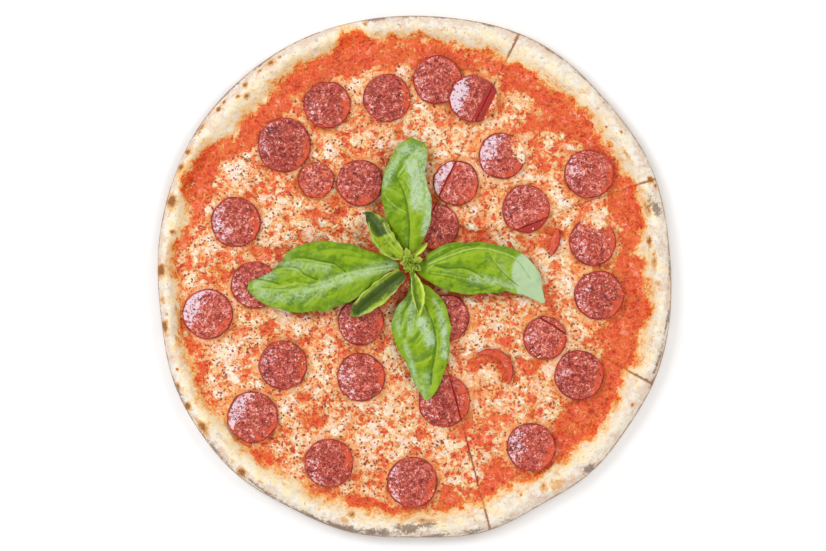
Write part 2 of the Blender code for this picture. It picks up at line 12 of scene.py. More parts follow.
import bpy
import numpy as np
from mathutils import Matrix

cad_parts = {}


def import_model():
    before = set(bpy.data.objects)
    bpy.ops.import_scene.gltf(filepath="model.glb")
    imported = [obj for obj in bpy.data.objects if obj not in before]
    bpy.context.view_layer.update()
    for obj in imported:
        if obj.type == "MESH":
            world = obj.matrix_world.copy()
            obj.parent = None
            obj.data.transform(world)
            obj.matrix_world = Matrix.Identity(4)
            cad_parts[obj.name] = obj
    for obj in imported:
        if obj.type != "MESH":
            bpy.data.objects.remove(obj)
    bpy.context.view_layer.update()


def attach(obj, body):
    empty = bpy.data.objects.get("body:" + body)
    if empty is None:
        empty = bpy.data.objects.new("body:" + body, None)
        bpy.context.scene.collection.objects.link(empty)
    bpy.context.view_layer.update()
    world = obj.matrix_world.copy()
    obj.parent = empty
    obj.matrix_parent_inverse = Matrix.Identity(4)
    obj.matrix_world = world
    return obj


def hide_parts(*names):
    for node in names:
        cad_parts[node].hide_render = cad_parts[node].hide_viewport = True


MM = 0.001
PX = 0.58 * MM
MIDDLE_PX = (414.5, 276.5)
TURN = 2 * math.pi
LOG = logging.getLogger("pizza")

Array = np.ndarray
RadiusOf = Callable[[Array], Array]
Marks = Sequence[tuple[float, float, float, float]]
RimMarks = Sequence[tuple[float, float, float, float, float]]
Colour = tuple[float, float, float]
Socket = bpy.types.NodeSocket
Material = bpy.types.Material
Body = bpy.types.Object


class Slot(Enum):
    """The record's material slots."""

    CRUST = "crust_baked"
    SAUCE = "tomato_sauce"
    CHEESE = "melted_cheese"
    MEAT = "pepperoni_meat"
    LEAF = "basil_green"
    DARK_LEAF = "basil_dark"
    YOUNG_LEAF = "basil_light"


class Side(Enum):
    """Which side of a cut a half slice lies on, seen from the middle outwards."""

    WHOLE = 0
    LEFT = 1
    RIGHT = -1


def place(px: Sequence[float]) -> Array:
    """A place in the photo as x and y in metres from the pizza's middle."""
    return np.array(((px[0] - MIDDLE_PX[0]) * PX, (MIDDLE_PX[1] - px[1]) * PX))


def smooth(value: Array, low: float, high: float) -> Array:
    """A gentle step from 0 at low to 1 at high: 3t^2 - 2t^3."""
    share = np.clip((np.asarray(value, float) - low) / (high - low), 0, 1)
    return share * share * (3 - 2 * share)


def lattice_noise(x: Array, y: Array, cell: float, seed: int) -> Array:
    """Random values on a square lattice, blended smoothly between its corners.

    Args:
        x, y: places in metres.
        cell: the lattice spacing in metres.
        seed: which random lattice.

    Returns:
        Values from about -1 to 1.
    """
    draw = np.random.default_rng(seed)
    table = draw.uniform(-1, 1, (256, 256))
    heading = draw.uniform(0, TURN)
    u = (x * math.cos(heading) - y * math.sin(heading)) / cell + draw.uniform(0, 64)
    v = (x * math.sin(heading) + y * math.cos(heading)) / cell + draw.uniform(0, 64)
    i, j = np.floor(u).astype(int), np.floor(v).astype(int)
    fu, fv = u - i, v - j
    fu, fv = fu * fu * (3 - 2 * fu), fv * fv * (3 - 2 * fv)
    a, b = table[i & 255, j & 255], table[(i + 1) & 255, j & 255]
    c, d = table[i & 255, (j + 1) & 255], table[(i + 1) & 255, (j + 1) & 255]
    return (a * (1 - fu) + b * fu) * (1 - fv) + (c * (1 - fu) + d * fu) * fv


def fractal(x: Array, y: Array, cell: float, octaves: int, seed: int, keep: float = 0.55) -> Array:
    """Lattice noise summed over halving cells, each octave keeping a share of the last one's strength."""
    total = np.zeros(np.shape(x))
    weight, whole = 1.0, 0.0
    for octave in range(octaves):
        total = total + weight * lattice_noise(x, y, cell / 2 ** octave, seed * 31 + octave)
        whole += weight
        weight *= keep
    return total / whole * 1.5


def spots(x: Array, y: Array, marks: Marks) -> Array:
    """A sum of round soft spots, each its photo place, its radius in photo pixels and its strength."""
    total = np.zeros(np.shape(x))
    for px, py, reach, strength in marks:
        cx, cy = place((px, py))
        total = total + strength * np.exp(-((x - cx) ** 2 + (y - cy) ** 2) / (reach * PX) ** 2)
    return total


def rim_spots(x: Array, y: Array, marks: RimMarks) -> Array:
    """The strongest of several soft oval spots on the rim.

    Each is given by its direction in degrees, its distance from the middle in mm, its half lengths along and
    across the rim in mm, and its strength.
    """
    most = np.zeros(np.shape(x))
    radius, angle = np.hypot(x, y) / MM, np.degrees(np.arctan2(y, x))
    for deg, away, along_mm, across_mm, strength in marks:
        off = (angle - deg + 180) % 360 - 180
        along = np.radians(off) * away
        gone = (along / along_mm) ** 2 + ((radius - away) / across_mm) ** 2
        most = np.maximum(most, strength * np.exp(-0.6 * gone))
    return most


# ---- the plan: outlines and cuts -------------------------------------------------------------------------


@dataclass(frozen=True)
class ClosedCurve:
    """A smooth closed curve about the middle, through evenly spaced radii."""

    radii_mm: tuple[float, ...]

    def radius(self, angle: Array) -> Array:
        """The curve's radius at any angle, as the sum of its Fourier waves."""
        values = np.asarray(self.radii_mm, float) * MM
        waves = np.fft.rfft(values) / len(values)
        order = np.arange(len(waves))
        weight = np.where(order == 0, 1.0, 2.0)
        if len(values) % 2 == 0:
            weight[-1] = 1.0
        turn = np.exp(1j * np.multiply.outer(np.asarray(angle, float), order))
        return (turn * (waves * weight)).sum(axis=-1).real


@dataclass(frozen=True)
class Plan:
    """The pizza seen from above: its edge, the foot of its rim, the cheese's edge and its four cuts."""

    edge: ClosedCurve = ClosedCurve((
        149.3, 149.5, 151.1, 151.7, 151.2, 152.4, 154.0, 153.6, 152.2, 151.7, 152.0, 152.6,
        152.9, 152.8, 152.9, 152.3, 151.1, 150.2, 149.3, 149.4, 152.0, 153.8, 154.5, 154.6,
        152.8, 153.1, 152.9, 151.8, 153.4, 153.4, 151.8, 153.2, 152.5, 152.0, 152.0, 150.6))
    foot: ClosedCurve = ClosedCurve((
        138.6, 137.2, 137.6, 136.4, 136.8, 137.4, 139.4, 138.8, 139.3, 137.8, 141.0, 141.6,
        139.7, 139.7, 140.2, 140.0, 140.3, 138.8, 138.0, 135.8, 134.6, 135.3, 136.2, 138.0))
    cheese: ClosedCurve = ClosedCurve((
        117, 118, 121, 119, 121, 120, 119, 120, 122, 121, 126, 129,
        131, 133, 136, 135, 133, 131, 129, 125, 124, 119, 118, 116))
    stain: ClosedCurve = ClosedCurve((
        133, 131, 132, 136, 136, 136, 135.5, 134.5, 135, 136, 136.5, 135.5, 135, 135, 136, 134.5, 135.5,
        137.5, 137.5, 138, 140, 147, 139.5, 138, 138.5, 137, 134.5, 134, 132.5, 137, 142.5, 144.5, 142,
        134.5, 137, 140, 138.5, 135, 138, 140.5, 139.5, 138.5, 141, 138.5, 139, 139, 139.5, 136, 135, 138,
        136, 137, 137, 138, 136, 137, 136, 135, 134, 132, 134.5, 135, 137, 134.5, 138, 137, 136, 132.5,
        136.5, 135, 137, 135.5))
    hub_px: tuple[float, float] = (412, 262)
    cut_gap: float = 0.44 * MM
    shrink: float = 0.9985

    def cuts_px(self) -> dict[str, tuple[tuple[float, float], ...]]:
        """Each cut's line in the photo, from the middle out past the rim."""
        return {
            "lower": (self.hub_px, (453.6, 391), (496, 552)),
            "lower_right": (self.hub_px, (541, 318), (612, 362), (680, 399)),
            "right": (self.hub_px, (524, 227), (588, 201), (680, 171)),
            "upper": (self.hub_px, (437, 200), (470, 133), (530, 12)),
        }

    def pieces(self) -> dict[str, tuple[str, str]]:
        """Each piece's two cuts: it lies anticlockwise of the first, up to the second."""
        return {
            "slice_lower": ("lower", "lower_right"),
            "slice_right": ("lower_right", "right"),
            "slice_upper": ("right", "upper"),
            "uncut_rest": ("upper", "lower"),
        }

    def edge_radius(self, angle: Array) -> Array:
        """The outer edge, drawn in by a hair so that it stays inside the solid."""
        return self.edge.radius(angle) * self.shrink

    def sauce_radius(self, angle: Array) -> Array:
        """Where the sauce's sheet ends, sunk into the rising foot of the rim."""
        return self.foot.radius(angle) + 1.8 * MM

    def cheese_limit(self, angle: Array) -> Array:
        """How far out the cheese's sheet runs, past which it is wholly under the sauce."""
        return np.minimum(self.cheese.radius(angle) + 9 * MM, self.foot.radius(angle) - 1.0 * MM)

    def side_lines(self, piece: str) -> tuple[list[Array], list[Array]]:
        """The two cut sides of a piece, each a bent line from its tip outwards, half a gap inside the cut."""
        first, last = self.pieces()[piece]
        start = offset_line([place(p) for p in self.cuts_px()[first]], self.cut_gap / 2)
        end = offset_line([place(p) for p in self.cuts_px()[last]], -self.cut_gap / 2)
        tip = crossing(start[0], start[1] - start[0], end[0], end[1] - end[0])
        start[0], end[0] = tip, tip
        return start, end

    def cut_distance(self, x: Array, y: Array) -> Array:
        """The distance to the nearest cut."""
        best = np.full(np.shape(x), 1.0)
        for line in self.cuts_px().values():
            best = np.minimum(best, line_distance(x, y, [place(p) for p in line]))
        return best

    def ragged(self, x: Array, y: Array) -> Array:
        """How many millimetres outside the ragged border between sauce and bare crust a place lies."""
        radius, angle = np.hypot(x, y), np.arctan2(y, x)
        wander = 1.6 * fractal(x, y, 11 * MM, 3, 301) + 1.2 * fractal(x, y, 4.5 * MM, 2, 302)
        return (radius - self.stain.radius(angle)) / MM + wander

    def rise_radius(self, angle: Array) -> Array:
        """Where the dough begins to rise under the sauce's border."""
        soft = sum(self.stain.radius(angle + turn) for turn in (-0.05, 0.0, 0.05)) / 3
        return np.minimum(self.foot.radius(angle), soft) - 1.5 * MM


def offset_line(points: Sequence[Array], distance: float) -> list[Array]:
    """A bent line moved to its left by a distance, its corners kept sharp."""
    heads = [(b - a) / np.linalg.norm(b - a) for a, b in zip(points, points[1:])]
    lefts = [np.array((-h[1], h[0])) for h in heads]
    moved = [points[0] + lefts[0] * distance]
    for k in range(1, len(points) - 1):
        both = lefts[k - 1] + lefts[k]
        moved.append(points[k] + both * distance / (1 + lefts[k - 1] @ lefts[k]))
    moved.append(points[-1] + lefts[-1] * distance)
    return moved


def crossing(start: Array, head: Array, other: Array, other_head: Array) -> Array:
    """Where two straight lines meet."""
    shares = np.linalg.solve(np.array((head, -other_head)).T, other - start)
    return start + head * shares[0]


def line_distance(x: Array, y: Array, line: Sequence[Array]) -> Array:
    """The distance from each place to a bent line."""
    best = np.full(np.shape(x), 1.0)
    for a, b in zip(line, line[1:]):
        run = b - a
        share = np.clip(((x - a[0]) * run[0] + (y - a[1]) * run[1]) / (run @ run), 0, 1)
        best = np.minimum(best, np.hypot(x - a[0] - share * run[0], y - a[1] - share * run[1]))
    return best


def line_point(line: Sequence[Array], distance: Array) -> Array:
    """The points at distances along a bent line, carried on straight past its end."""
    lengths = np.concatenate(([0], np.cumsum([np.linalg.norm(b - a) for a, b in zip(line, line[1:])])))
    corners = np.array(line)
    x = np.interp(distance, lengths, corners[:, 0])
    y = np.interp(distance, lengths, corners[:, 1])
    return np.stack((x, y), axis=-1)


def line_leaves(line: Sequence[Array], radius_of: RadiusOf) -> float:
    """The distance along a bent line at which it leaves a closed curve, found by halving."""
    low, high = 0.0, float(sum(np.linalg.norm(b - a) for a, b in zip(line, line[1:])))
    for _ in range(44):
        half = (low + high) / 2
        x, y = line_point(line, np.array(half))
        inside = math.hypot(x, y) < float(radius_of(np.array(math.atan2(y, x))))
        low, high = (half, high) if inside else (low, half)
    return low


def fan_grid(plan: Plan, piece: str, radius_of: RadiusOf, turns: int, shares: Array) -> Array:
    """A grid of places over one cut piece, from its tip out to a closed curve.

    A place is tip + share * (curve point - tip), and near each cut side the grid bends by what the side
    departs from a straight line, so that its border runs along the cut.

    Args:
        plan: the pizza's plan.
        piece: which cut piece.
        radius_of: the closed curve that ends the grid.
        turns: how many columns round the piece.
        shares: the rows' shares of the way out.

    Returns:
        An array of shape (turns, rows, 2).
    """
    first, last = plan.side_lines(piece)
    reach_first, reach_last = line_leaves(first, radius_of), line_leaves(last, radius_of)
    corner_a, corner_b = line_point(first, np.array(reach_first)), line_point(last, np.array(reach_last))
    begin = math.atan2(corner_a[1], corner_a[0])
    end = begin + (math.atan2(corner_b[1], corner_b[0]) - begin) % TURN
    angle = np.linspace(begin, end, turns)
    radius = radius_of(angle)
    curve = np.stack((radius * np.cos(angle), radius * np.sin(angle)), axis=1)
    curve[0], curve[-1] = corner_a, corner_b
    tip = first[0]
    grid = tip + shares[None, :, None] * (curve[:, None, :] - tip)
    along = np.linspace(0, 1, turns)
    bend_a = line_point(first, shares * reach_first) - (tip + shares[:, None] * (corner_a - tip))
    bend_b = line_point(last, shares * reach_last) - (tip + shares[:, None] * (corner_b - tip))
    weight_a = np.clip(1 - along / 0.35, 0, 1) ** 2
    weight_b = np.clip(1 - (1 - along) / 0.35, 0, 1) ** 2
    return grid + weight_a[:, None, None] * bend_a + weight_b[:, None, None] * bend_b


# ---- meshes ----------------------------------------------------------------------------------------------


@dataclass
class MeshData:
    """A mesh as plain arrays, with named values at its points."""

    points: Array
    faces: list[Array] = field(default_factory=list)
    values: dict[str, Array] = field(default_factory=dict)


def make_object(name: str, data: MeshData, material: Material, shade: bool = True) -> Body:
    """Puts a mesh into the scene.

    Args:
        name: the object's name.
        data: points, faces as arrays of point numbers (one array for each face size), and point values.
        material: its finish.
        shade: whether it is shaded smooth.

    Returns:
        The new object, at the origin.
    """
    mesh = bpy.data.meshes.new(name)
    loops = np.concatenate([f.ravel() for f in data.faces])
    sizes = np.concatenate([np.full(len(f), f.shape[1]) for f in data.faces])
    mesh.vertices.add(len(data.points))
    mesh.vertices.foreach_set("co", np.ascontiguousarray(data.points, dtype=np.float32).ravel())
    mesh.loops.add(len(loops))
    mesh.loops.foreach_set("vertex_index", loops.astype(np.int32))
    mesh.polygons.add(len(sizes))
    starts = np.concatenate(([0], np.cumsum(sizes)[:-1]))
    mesh.polygons.foreach_set("loop_start", starts.astype(np.int32))
    mesh.polygons.foreach_set("loop_total", sizes.astype(np.int32))
    mesh.update(calc_edges=True)
    mesh.validate()
    for key, value in data.values.items():
        layer = mesh.attributes.new(key, "FLOAT", "POINT")
        layer.data.foreach_set("value", np.ascontiguousarray(value, dtype=np.float32))
    mesh.polygons.foreach_set("use_smooth", np.full(len(mesh.polygons), shade))
    mesh.materials.append(material)
    body = bpy.data.objects.new(name, mesh)
    bpy.context.scene.collection.objects.link(body)
    return body


def add_piece(name: str, data: MeshData, material: Material, slot: Slot, *nodes: str,
              shade: bool = True) -> None:
    """Puts a piece in, lets it ride on the pizza and stand for its solids, and reports it."""
    body = make_object(name, data, material, shade)
    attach(body, "root")
    if nodes:
        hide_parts(*nodes)
    LOG.info("%s: %d faces", body.name, len(body.data.polygons))


def grid_faces(rows: int, columns: int, start: int = 0) -> Array:
    """The four-sided faces of a grid whose points are numbered row by row."""
    i, j = np.meshgrid(np.arange(rows - 1), np.arange(columns - 1), indexing="ij")
    a = (start + i * columns + j).ravel()
    return np.stack((a, a + columns, a + columns + 1, a + 1), axis=1)


def polar_points(top: Array, low: Array, values: dict[str, Array]) -> tuple[Array, dict[str, Array]]:
    """The points of two polar grids, upper, lower and then the two poles, and the values at all of them."""
    points = np.concatenate((top[:, 1:].reshape(-1, 3), low[:, 1:].reshape(-1, 3), top[:1, 0], low[:1, 0]))
    fitted = {}
    for key, value in values.items():
        flat = value[:, 1:].ravel()
        fitted[key] = np.concatenate((flat, flat, value[:1, 0], value[:1, 0]))
    return points, fitted


def slab(top: Array, low: Array, values: dict[str, Array]) -> MeshData:
    """A closed body between two grids over the same places.

    The first column of each row is one shared pole, so its faces there are triangles.

    Args:
        top: the upper grid, of shape (turns, rows, 3), with its pole in the first row position.
        low: the lower grid, of the same shape, which meets the upper one nowhere.
        values: point values on the upper grid, which the lower grid repeats.

    Returns:
        The closed mesh, its faces outwards.
    """
    turns, rows = top.shape[:2]
    inner = rows - 1
    points, fitted = polar_points(top, low, values)
    count = turns * inner
    pole_top, pole_low = 2 * count, 2 * count + 1
    first = np.arange(turns - 1) * inner
    quads = [grid_faces(turns, inner)[:, ::-1], grid_faces(turns, inner, count)]
    tris = [np.stack((np.full(turns - 1, pole_top), first, first + inner), axis=1),
            np.stack((np.full(turns - 1, pole_low), first + inner + count, first + count), axis=1)]
    edge = np.arange(turns - 1) * inner + inner - 1
    quads.append(np.stack((edge, edge + count, edge + inner + count, edge + inner), axis=1))
    side = np.arange(inner - 1)
    quads.append(np.stack((side, side + count, side + 1 + count, side + 1), axis=1))
    tris.append(np.array(((pole_top, pole_low, 0), (pole_low, count, 0))))
    far = (turns - 1) * inner + side
    quads.append(np.stack((far, far + 1, far + 1 + count, far + count), axis=1))
    last = (turns - 1) * inner
    tris.append(np.array(((pole_top, last, pole_low), (pole_low, last, last + count))))
    return MeshData(points, [np.concatenate(quads), np.concatenate(tris)], fitted)


# ---- finishes --------------------------------------------------------------------------------------------


class Graph:
    """A material's node tree, with one method for each kind of node in it."""

    def __init__(self, name: str) -> None:
        """Starts a new material with its shader."""
        self.material = bpy.data.materials.new(name)
        self.material.use_nodes = True
        self.tree = self.material.node_tree
        self.shader = self.tree.nodes["Principled BSDF"]
        self.where = self.tree.nodes.new("ShaderNodeTexCoord").outputs["Object"]

    def link(self, source: Socket, target: Socket) -> None:
        """Joins two sockets."""
        self.tree.links.new(source, target)

    def feed(self, target: Socket, value: object) -> None:
        """Gives a socket a link, a number or a colour."""
        if isinstance(value, Socket):
            self.link(value, target)
        elif isinstance(value, tuple):
            target.default_value = (*value, 1.0) if target.type == "RGBA" else value
        else:
            target.default_value = value

    def attribute(self, name: str) -> Socket:
        """A named point value of the piece."""
        node = self.tree.nodes.new("ShaderNodeAttribute")
        node.attribute_name = name
        return node.outputs["Fac"]

    def noise(self, size_mm: float, detail: float = 3.0, rough: float = 0.55,
              twist: float = 0.0) -> Socket:
        """Cloudy noise whose lumps are about size_mm across."""
        node = self.tree.nodes.new("ShaderNodeTexNoise")
        self.link(self.where, node.inputs["Vector"])
        node.inputs["Scale"].default_value = 1.0 / (size_mm * MM)
        node.inputs["Detail"].default_value = detail
        node.inputs["Roughness"].default_value = rough
        node.inputs["Distortion"].default_value = twist
        return node.outputs["Fac"]

    def cells(self, size_mm: float, output: str = "Distance") -> Socket:
        """Many scattered points, size_mm apart: the distance to the nearest, or its random "Color"."""
        node = self.tree.nodes.new("ShaderNodeTexVoronoi")
        self.link(self.where, node.inputs["Vector"])
        node.inputs["Scale"].default_value = 1.0 / (size_mm * MM)
        return node.outputs[output]

    def ramp(self, value: Socket, stops: Sequence[tuple[float, Colour]]) -> Socket:
        """Colours along a value."""
        node = self.tree.nodes.new("ShaderNodeValToRGB")
        self.link(value, node.inputs["Fac"])
        band = node.color_ramp
        band.elements[0].position, band.elements[-1].position = stops[0][0], stops[-1][0]
        band.elements[0].color, band.elements[-1].color = (*stops[0][1], 1), (*stops[-1][1], 1)
        for position, colour in stops[1:-1]:
            band.elements.new(position).color = (*colour, 1)
        return node.outputs["Color"]

    def step(self, value: Socket, low: float, high: float) -> Socket:
        """A value stretched so that low becomes 0 and high becomes 1, and clipped."""
        node = self.tree.nodes.new("ShaderNodeMapRange")
        node.interpolation_type = "SMOOTHSTEP"
        self.link(value, node.inputs["Value"])
        node.inputs["From Min"].default_value = low
        node.inputs["From Max"].default_value = high
        return node.outputs["Result"]

    def math(self, kind: str, a: object, b: object = 0.0) -> Socket:
        """A sum, product or the like of two values."""
        node = self.tree.nodes.new("ShaderNodeMath")
        node.operation = kind
        self.feed(node.inputs[0], a)
        self.feed(node.inputs[1], b)
        return node.outputs[0]

    def add(self, a: object, b: object) -> Socket:
        """The sum of two values."""
        return self.math("ADD", a, b)

    def times(self, a: object, b: object) -> Socket:
        """The product of two values."""
        return self.math("MULTIPLY", a, b)

    def spread(self, value: Socket, much: float) -> Socket:
        """A noise value's departure from its middle, times a factor."""
        return self.times(self.math("SUBTRACT", value, 0.5), much)

    def cloud(self, much: float, size_mm: float, *form: float) -> Socket:
        """Cloudy noise about 0, times a factor."""
        return self.spread(self.noise(size_mm, *form), much)

    def ragged(self, name: str, much: float, size_mm: float, *form: float) -> Socket:
        """A point value whose borders cloudy noise makes ragged."""
        return self.add(self.attribute(name), self.cloud(much, size_mm, *form))

    def tint(self, base: Socket, mask: Socket, much: float, colour: object, kind: str = "MIX") -> Socket:
        """A base colour with another laid over it where a mask shows, at a strength."""
        return self.mix(self.times(mask, much), base, colour, kind)

    def mix(self, share: object, a: object, b: object, kind: str = "MIX") -> Socket:
        """Two colours mixed by a share."""
        node = self.tree.nodes.new("ShaderNodeMix")
        node.data_type = "RGBA"
        node.blend_type = kind
        self.feed(node.inputs["Factor"], share)
        self.feed(node.inputs[6], a)
        self.feed(node.inputs[7], b)
        return node.outputs[2]

    def bump(self, height: Socket, depth_mm: float, strength: float,
             under: Optional[Socket] = None) -> Socket:
        """Fine relief of a depth in millimetres, over an earlier one if given."""
        node = self.tree.nodes.new("ShaderNodeBump")
        node.inputs["Strength"].default_value = strength
        node.inputs["Distance"].default_value = depth_mm * MM
        self.link(height, node.inputs["Height"])
        if under is not None:
            self.link(under, node.inputs["Normal"])
        return node.outputs["Normal"]

    def dress(self, **sockets: object) -> Material:
        """Feeds the shader's own sockets, spaces in their names written as underscores."""
        for name, value in sockets.items():
            self.feed(self.shader.inputs[name.replace("_", " ")], value)
        return self.material

    def blobs(self, size_mm: float) -> tuple[Socket, Socket, Socket]:
        """Soft blobs about size_mm across: two values, each steady within a blob, and a border value."""
        wander = self.tree.nodes.new("ShaderNodeTexNoise")
        self.link(self.where, wander.inputs["Vector"])
        wander.inputs["Scale"].default_value = 1.0 / (0.8 * size_mm * MM)
        wander.inputs["Detail"].default_value = 3.0
        push = self.tree.nodes.new("ShaderNodeVectorMath")
        push.operation = "MULTIPLY_ADD"
        self.link(wander.outputs["Color"], push.inputs[0])
        push.inputs[1].default_value = (1.6 * size_mm * MM,) * 3
        self.link(self.where, push.inputs[2])
        found = []
        for feature in ("SMOOTH_F1", "DISTANCE_TO_EDGE"):
            cells = self.tree.nodes.new("ShaderNodeTexVoronoi")
            cells.feature = feature
            self.link(push.outputs[0], cells.inputs["Vector"])
            cells.inputs["Scale"].default_value = 1.0 / (size_mm * MM)
            found.append(cells)
        found[0].inputs["Smoothness"].default_value = 0.25
        parts = self.tree.nodes.new("ShaderNodeSeparateColor")
        self.link(found[0].outputs["Color"], parts.inputs[0])
        return parts.outputs[0], parts.outputs[1], found[1].outputs["Distance"]


@dataclass(frozen=True)
class ToppingColours:
    """The run of colours from bare tomato sauce through oily orange to milk-white cheese."""

    deep: Colour = (0.47, 0.020, 0.006)
    red: Colour = (0.66, 0.048, 0.013)
    bright: Colour = (0.79, 0.084, 0.024)
    # pale pulp and painted highlights on the wet sauce
    pink: Colour = (0.88, 0.36, 0.25)
    scarlet: Colour = (0.66, 0.085, 0.013)
    orange: Colour = (0.76, 0.22, 0.030)
    gold: Colour = (0.80, 0.37, 0.095)
    peach: Colour = (0.82, 0.47, 0.20)
    cream: Colour = (0.83, 0.57, 0.31)
    milk: Colour = (0.85, 0.68, 0.46)
    white: Colour = (0.88, 0.80, 0.68)
    speck: Colour = (0.30, 0.045, 0.014)
    blush: Colour = (1.0, 0.84, 0.84)
    honey: Colour = (0.98, 0.90, 0.66)

    def mixed(self, g: Graph, amount: Socket) -> tuple[Socket, Socket]:
        """The colour where an amount of cheese lies, broken into blobs and noise, and the broken amount.

        Args:
            g: the material's nodes.
            amount: 0 for bare sauce to 1 for a thick white pool.

        Returns:
            The colour and the amount after the noise.
        """
        wide = g.add(g.times(g.step(amount, -0.05, 0.30), 0.70), 0.30)
        lump, hue, seam = g.blobs(3.6)
        fine = g.add(g.cloud(2.1, 4.2, 3, 0.62, 1.6), g.cloud(0.9, 2.2, 2, 0.6, 1.2))
        fine = g.add(fine, g.spread(lump, 0.62))
        value = g.add(amount, g.times(g.times(fine, 1.28), wide))
        cheese = g.ramp(value, ((0.05, self.scarlet), (0.15, self.orange), (0.27, self.gold),
                                (0.39, self.peach),
                                (0.56, self.cream), (0.78, self.milk), (1.0, self.white)))
        cheese = g.tint(cheese, g.step(hue, 0.56, 0.76), 0.9, self.blush, "MULTIPLY")
        cheese = g.tint(cheese, g.step(hue, 0.42, 0.22), 0.8, self.honey, "MULTIPLY")
        pulp = g.add(g.times(g.noise(2.4, 4, 0.68, 1.2), 0.60), g.times(g.noise(7, 3, 0.6), 0.40))
        # the pink top of the pulp's ramp is pale pulp and painted highlights on the wet sauce
        sauce = g.ramp(pulp, ((0.40, self.deep), (0.455, self.red), (0.50, self.bright), (0.555, self.bright),
                              (0.62, self.pink)))
        warm = g.step(g.noise(13, 3, 0.6), 0.50, 0.62)
        sauce = g.tint(sauce, warm, 0.26, (0.80, 0.17, 0.022))
        base = g.mix(g.step(value, 0.09, 0.22), sauce, cheese)
        lines = g.times(g.step(seam, 0.11, 0.02), g.step(value, 0.95, 0.60))
        base = g.tint(base, lines, 0.62, self.orange)
        streak = g.math("ABSOLUTE", g.math("SUBTRACT", g.noise(6.5, 3, 0.6, 2.6), 0.47))
        strands = g.times(g.step(streak, 0.018, 0.004), g.step(value, 0.10, 0.40))
        base = g.tint(base, strands, 0.6, self.white)
        pits = g.step(g.cells(3.0), 0.29, 0.16)
        kept = g.step(g.noise(6.0, 2), 0.45, 0.53)
        base = g.tint(base, g.times(pits, kept), 0.85, self.speck)
        return base, value


@dataclass(frozen=True)
class CrustFinish:
    """Floury baked dough: cream inside, whitish on the crown, toasted and scorched in places."""

    inner: Colour = (0.90, 0.75, 0.48)
    crown: Colour = (0.80, 0.72, 0.58)
    outer: Colour = (0.72, 0.57, 0.45)
    flour: Colour = (0.85, 0.81, 0.75)
    butter: Colour = (0.88, 0.70, 0.38)
    rose: Colour = (0.76, 0.57, 0.43)
    golden: Colour = (0.76, 0.38, 0.11)
    brown: Colour = (0.27, 0.085, 0.018)
    grey: Colour = (0.21, 0.135, 0.095)
    rind: Colour = (0.31, 0.185, 0.10)
    soaked: Colour = (0.80, 0.30, 0.055)
    oiled: Colour = (0.87, 0.53, 0.21)
    # the dark of an open cut: painted shade
    cut_shade: Colour = (0.36, 0.13, 0.03)

    def colours(self, g: Graph) -> Socket:
        """The bare crust: mixed by the share across the rim, then flour, toast, scorch and the dark rind."""
        across = g.ragged("across", 1.9, 12, 4)
        base = g.ramp(across, ((0.15, self.inner), (0.50, self.inner), (0.62, self.crown), (0.74, self.crown),
                               (0.88, self.outer)))
        yellow = g.add(g.cloud(4.4, 9, 4, 0.6, 0.8), g.attribute("butter"))
        base = g.tint(base, g.step(yellow, 0.10, 0.75), 0.85, self.butter)
        flour = g.step(g.noise(4.2, 5, 0.66, 0.8), 0.48, 0.58)
        base = g.tint(base, flour, 0.65, self.flour)
        blush = g.step(g.add(g.noise(5.0, 4, 0.66, 0.8), g.times(g.attribute("across"), 0.05)), 0.54, 0.64)
        base = g.tint(base, blush, 0.70, self.rose)
        toast = g.add(g.attribute("toast"), g.add(g.cloud(3.0, 2.8, 4, 0.65, 1.0), g.cloud(2.0, 8, 3)))
        base = g.tint(base, g.step(toast, 0.30, 0.80), 0.80, self.golden)
        base = g.tint(base, g.step(toast, 0.85, 1.75), 0.90, self.brown)
        scorch = g.ragged("scorch", 6.0, 2.6, 5, 0.7, 1.0)
        base = g.tint(base, g.step(scorch, 0.35, 1.45), 0.85, self.grey)
        rind = g.ragged("rind", 3.0, 5.0, 5, 0.7)
        base = g.tint(base, g.step(rind, 0.40, 0.90), 0.80, self.rind)
        # painted shade of the cuts, laid on their closed seams
        cut = g.ragged("cut_gap_shade", 1.6, 2.0, 3)
        return g.tint(base, g.step(cut, 0.40, 0.85), 0.85, self.cut_shade)

    def bordered(self, g: Graph, topping: Socket) -> tuple[Socket, Socket]:
        """The topping inside the ragged border and the crust outside it, with a stained fringe between.

        Args:
            g: the material's nodes.
            topping: the colour inside the border.

        Returns:
            The colour, and a value that is 1 on bare crust.
        """
        uneven = g.add(g.cloud(13.0, 3.0, 4, 0.66, 1.4), g.cloud(12.0, 8.0, 3))
        border = g.add(g.attribute("ragged"), uneven)
        base = g.tint(self.colours(g), g.step(border, 5.5, 1.6), 0.80, self.oiled)
        base = g.tint(base, g.step(border, 2.4, 0.6), 0.90, self.soaked)
        bare = g.step(border, -0.8, 0.8)
        return g.mix(bare, topping, base), g.step(border, 0.5, 3.0)

    def build(self) -> Material:
        """The crust with the topping where it reaches over the rim's foot."""
        g = Graph("crust_floury_baked")
        topping, _ = ToppingColours().mixed(g, g.attribute("amount"))
        base, _ = self.bordered(g, topping)
        fine = g.bump(g.noise(1.3, 6, 0.7), 0.25, 0.8)
        relief = g.bump(g.noise(4.2, 5, 0.62, 0.4), 0.8, 0.8, fine)
        rough = g.ramp(g.noise(3, 3), ((0.3, (0.62, 0.62, 0.62)), (0.7, (0.85, 0.85, 0.85))))
        return g.dress(Base_Color=base, Roughness=rough, Normal=relief, Specular_IOR_Level=0.2)


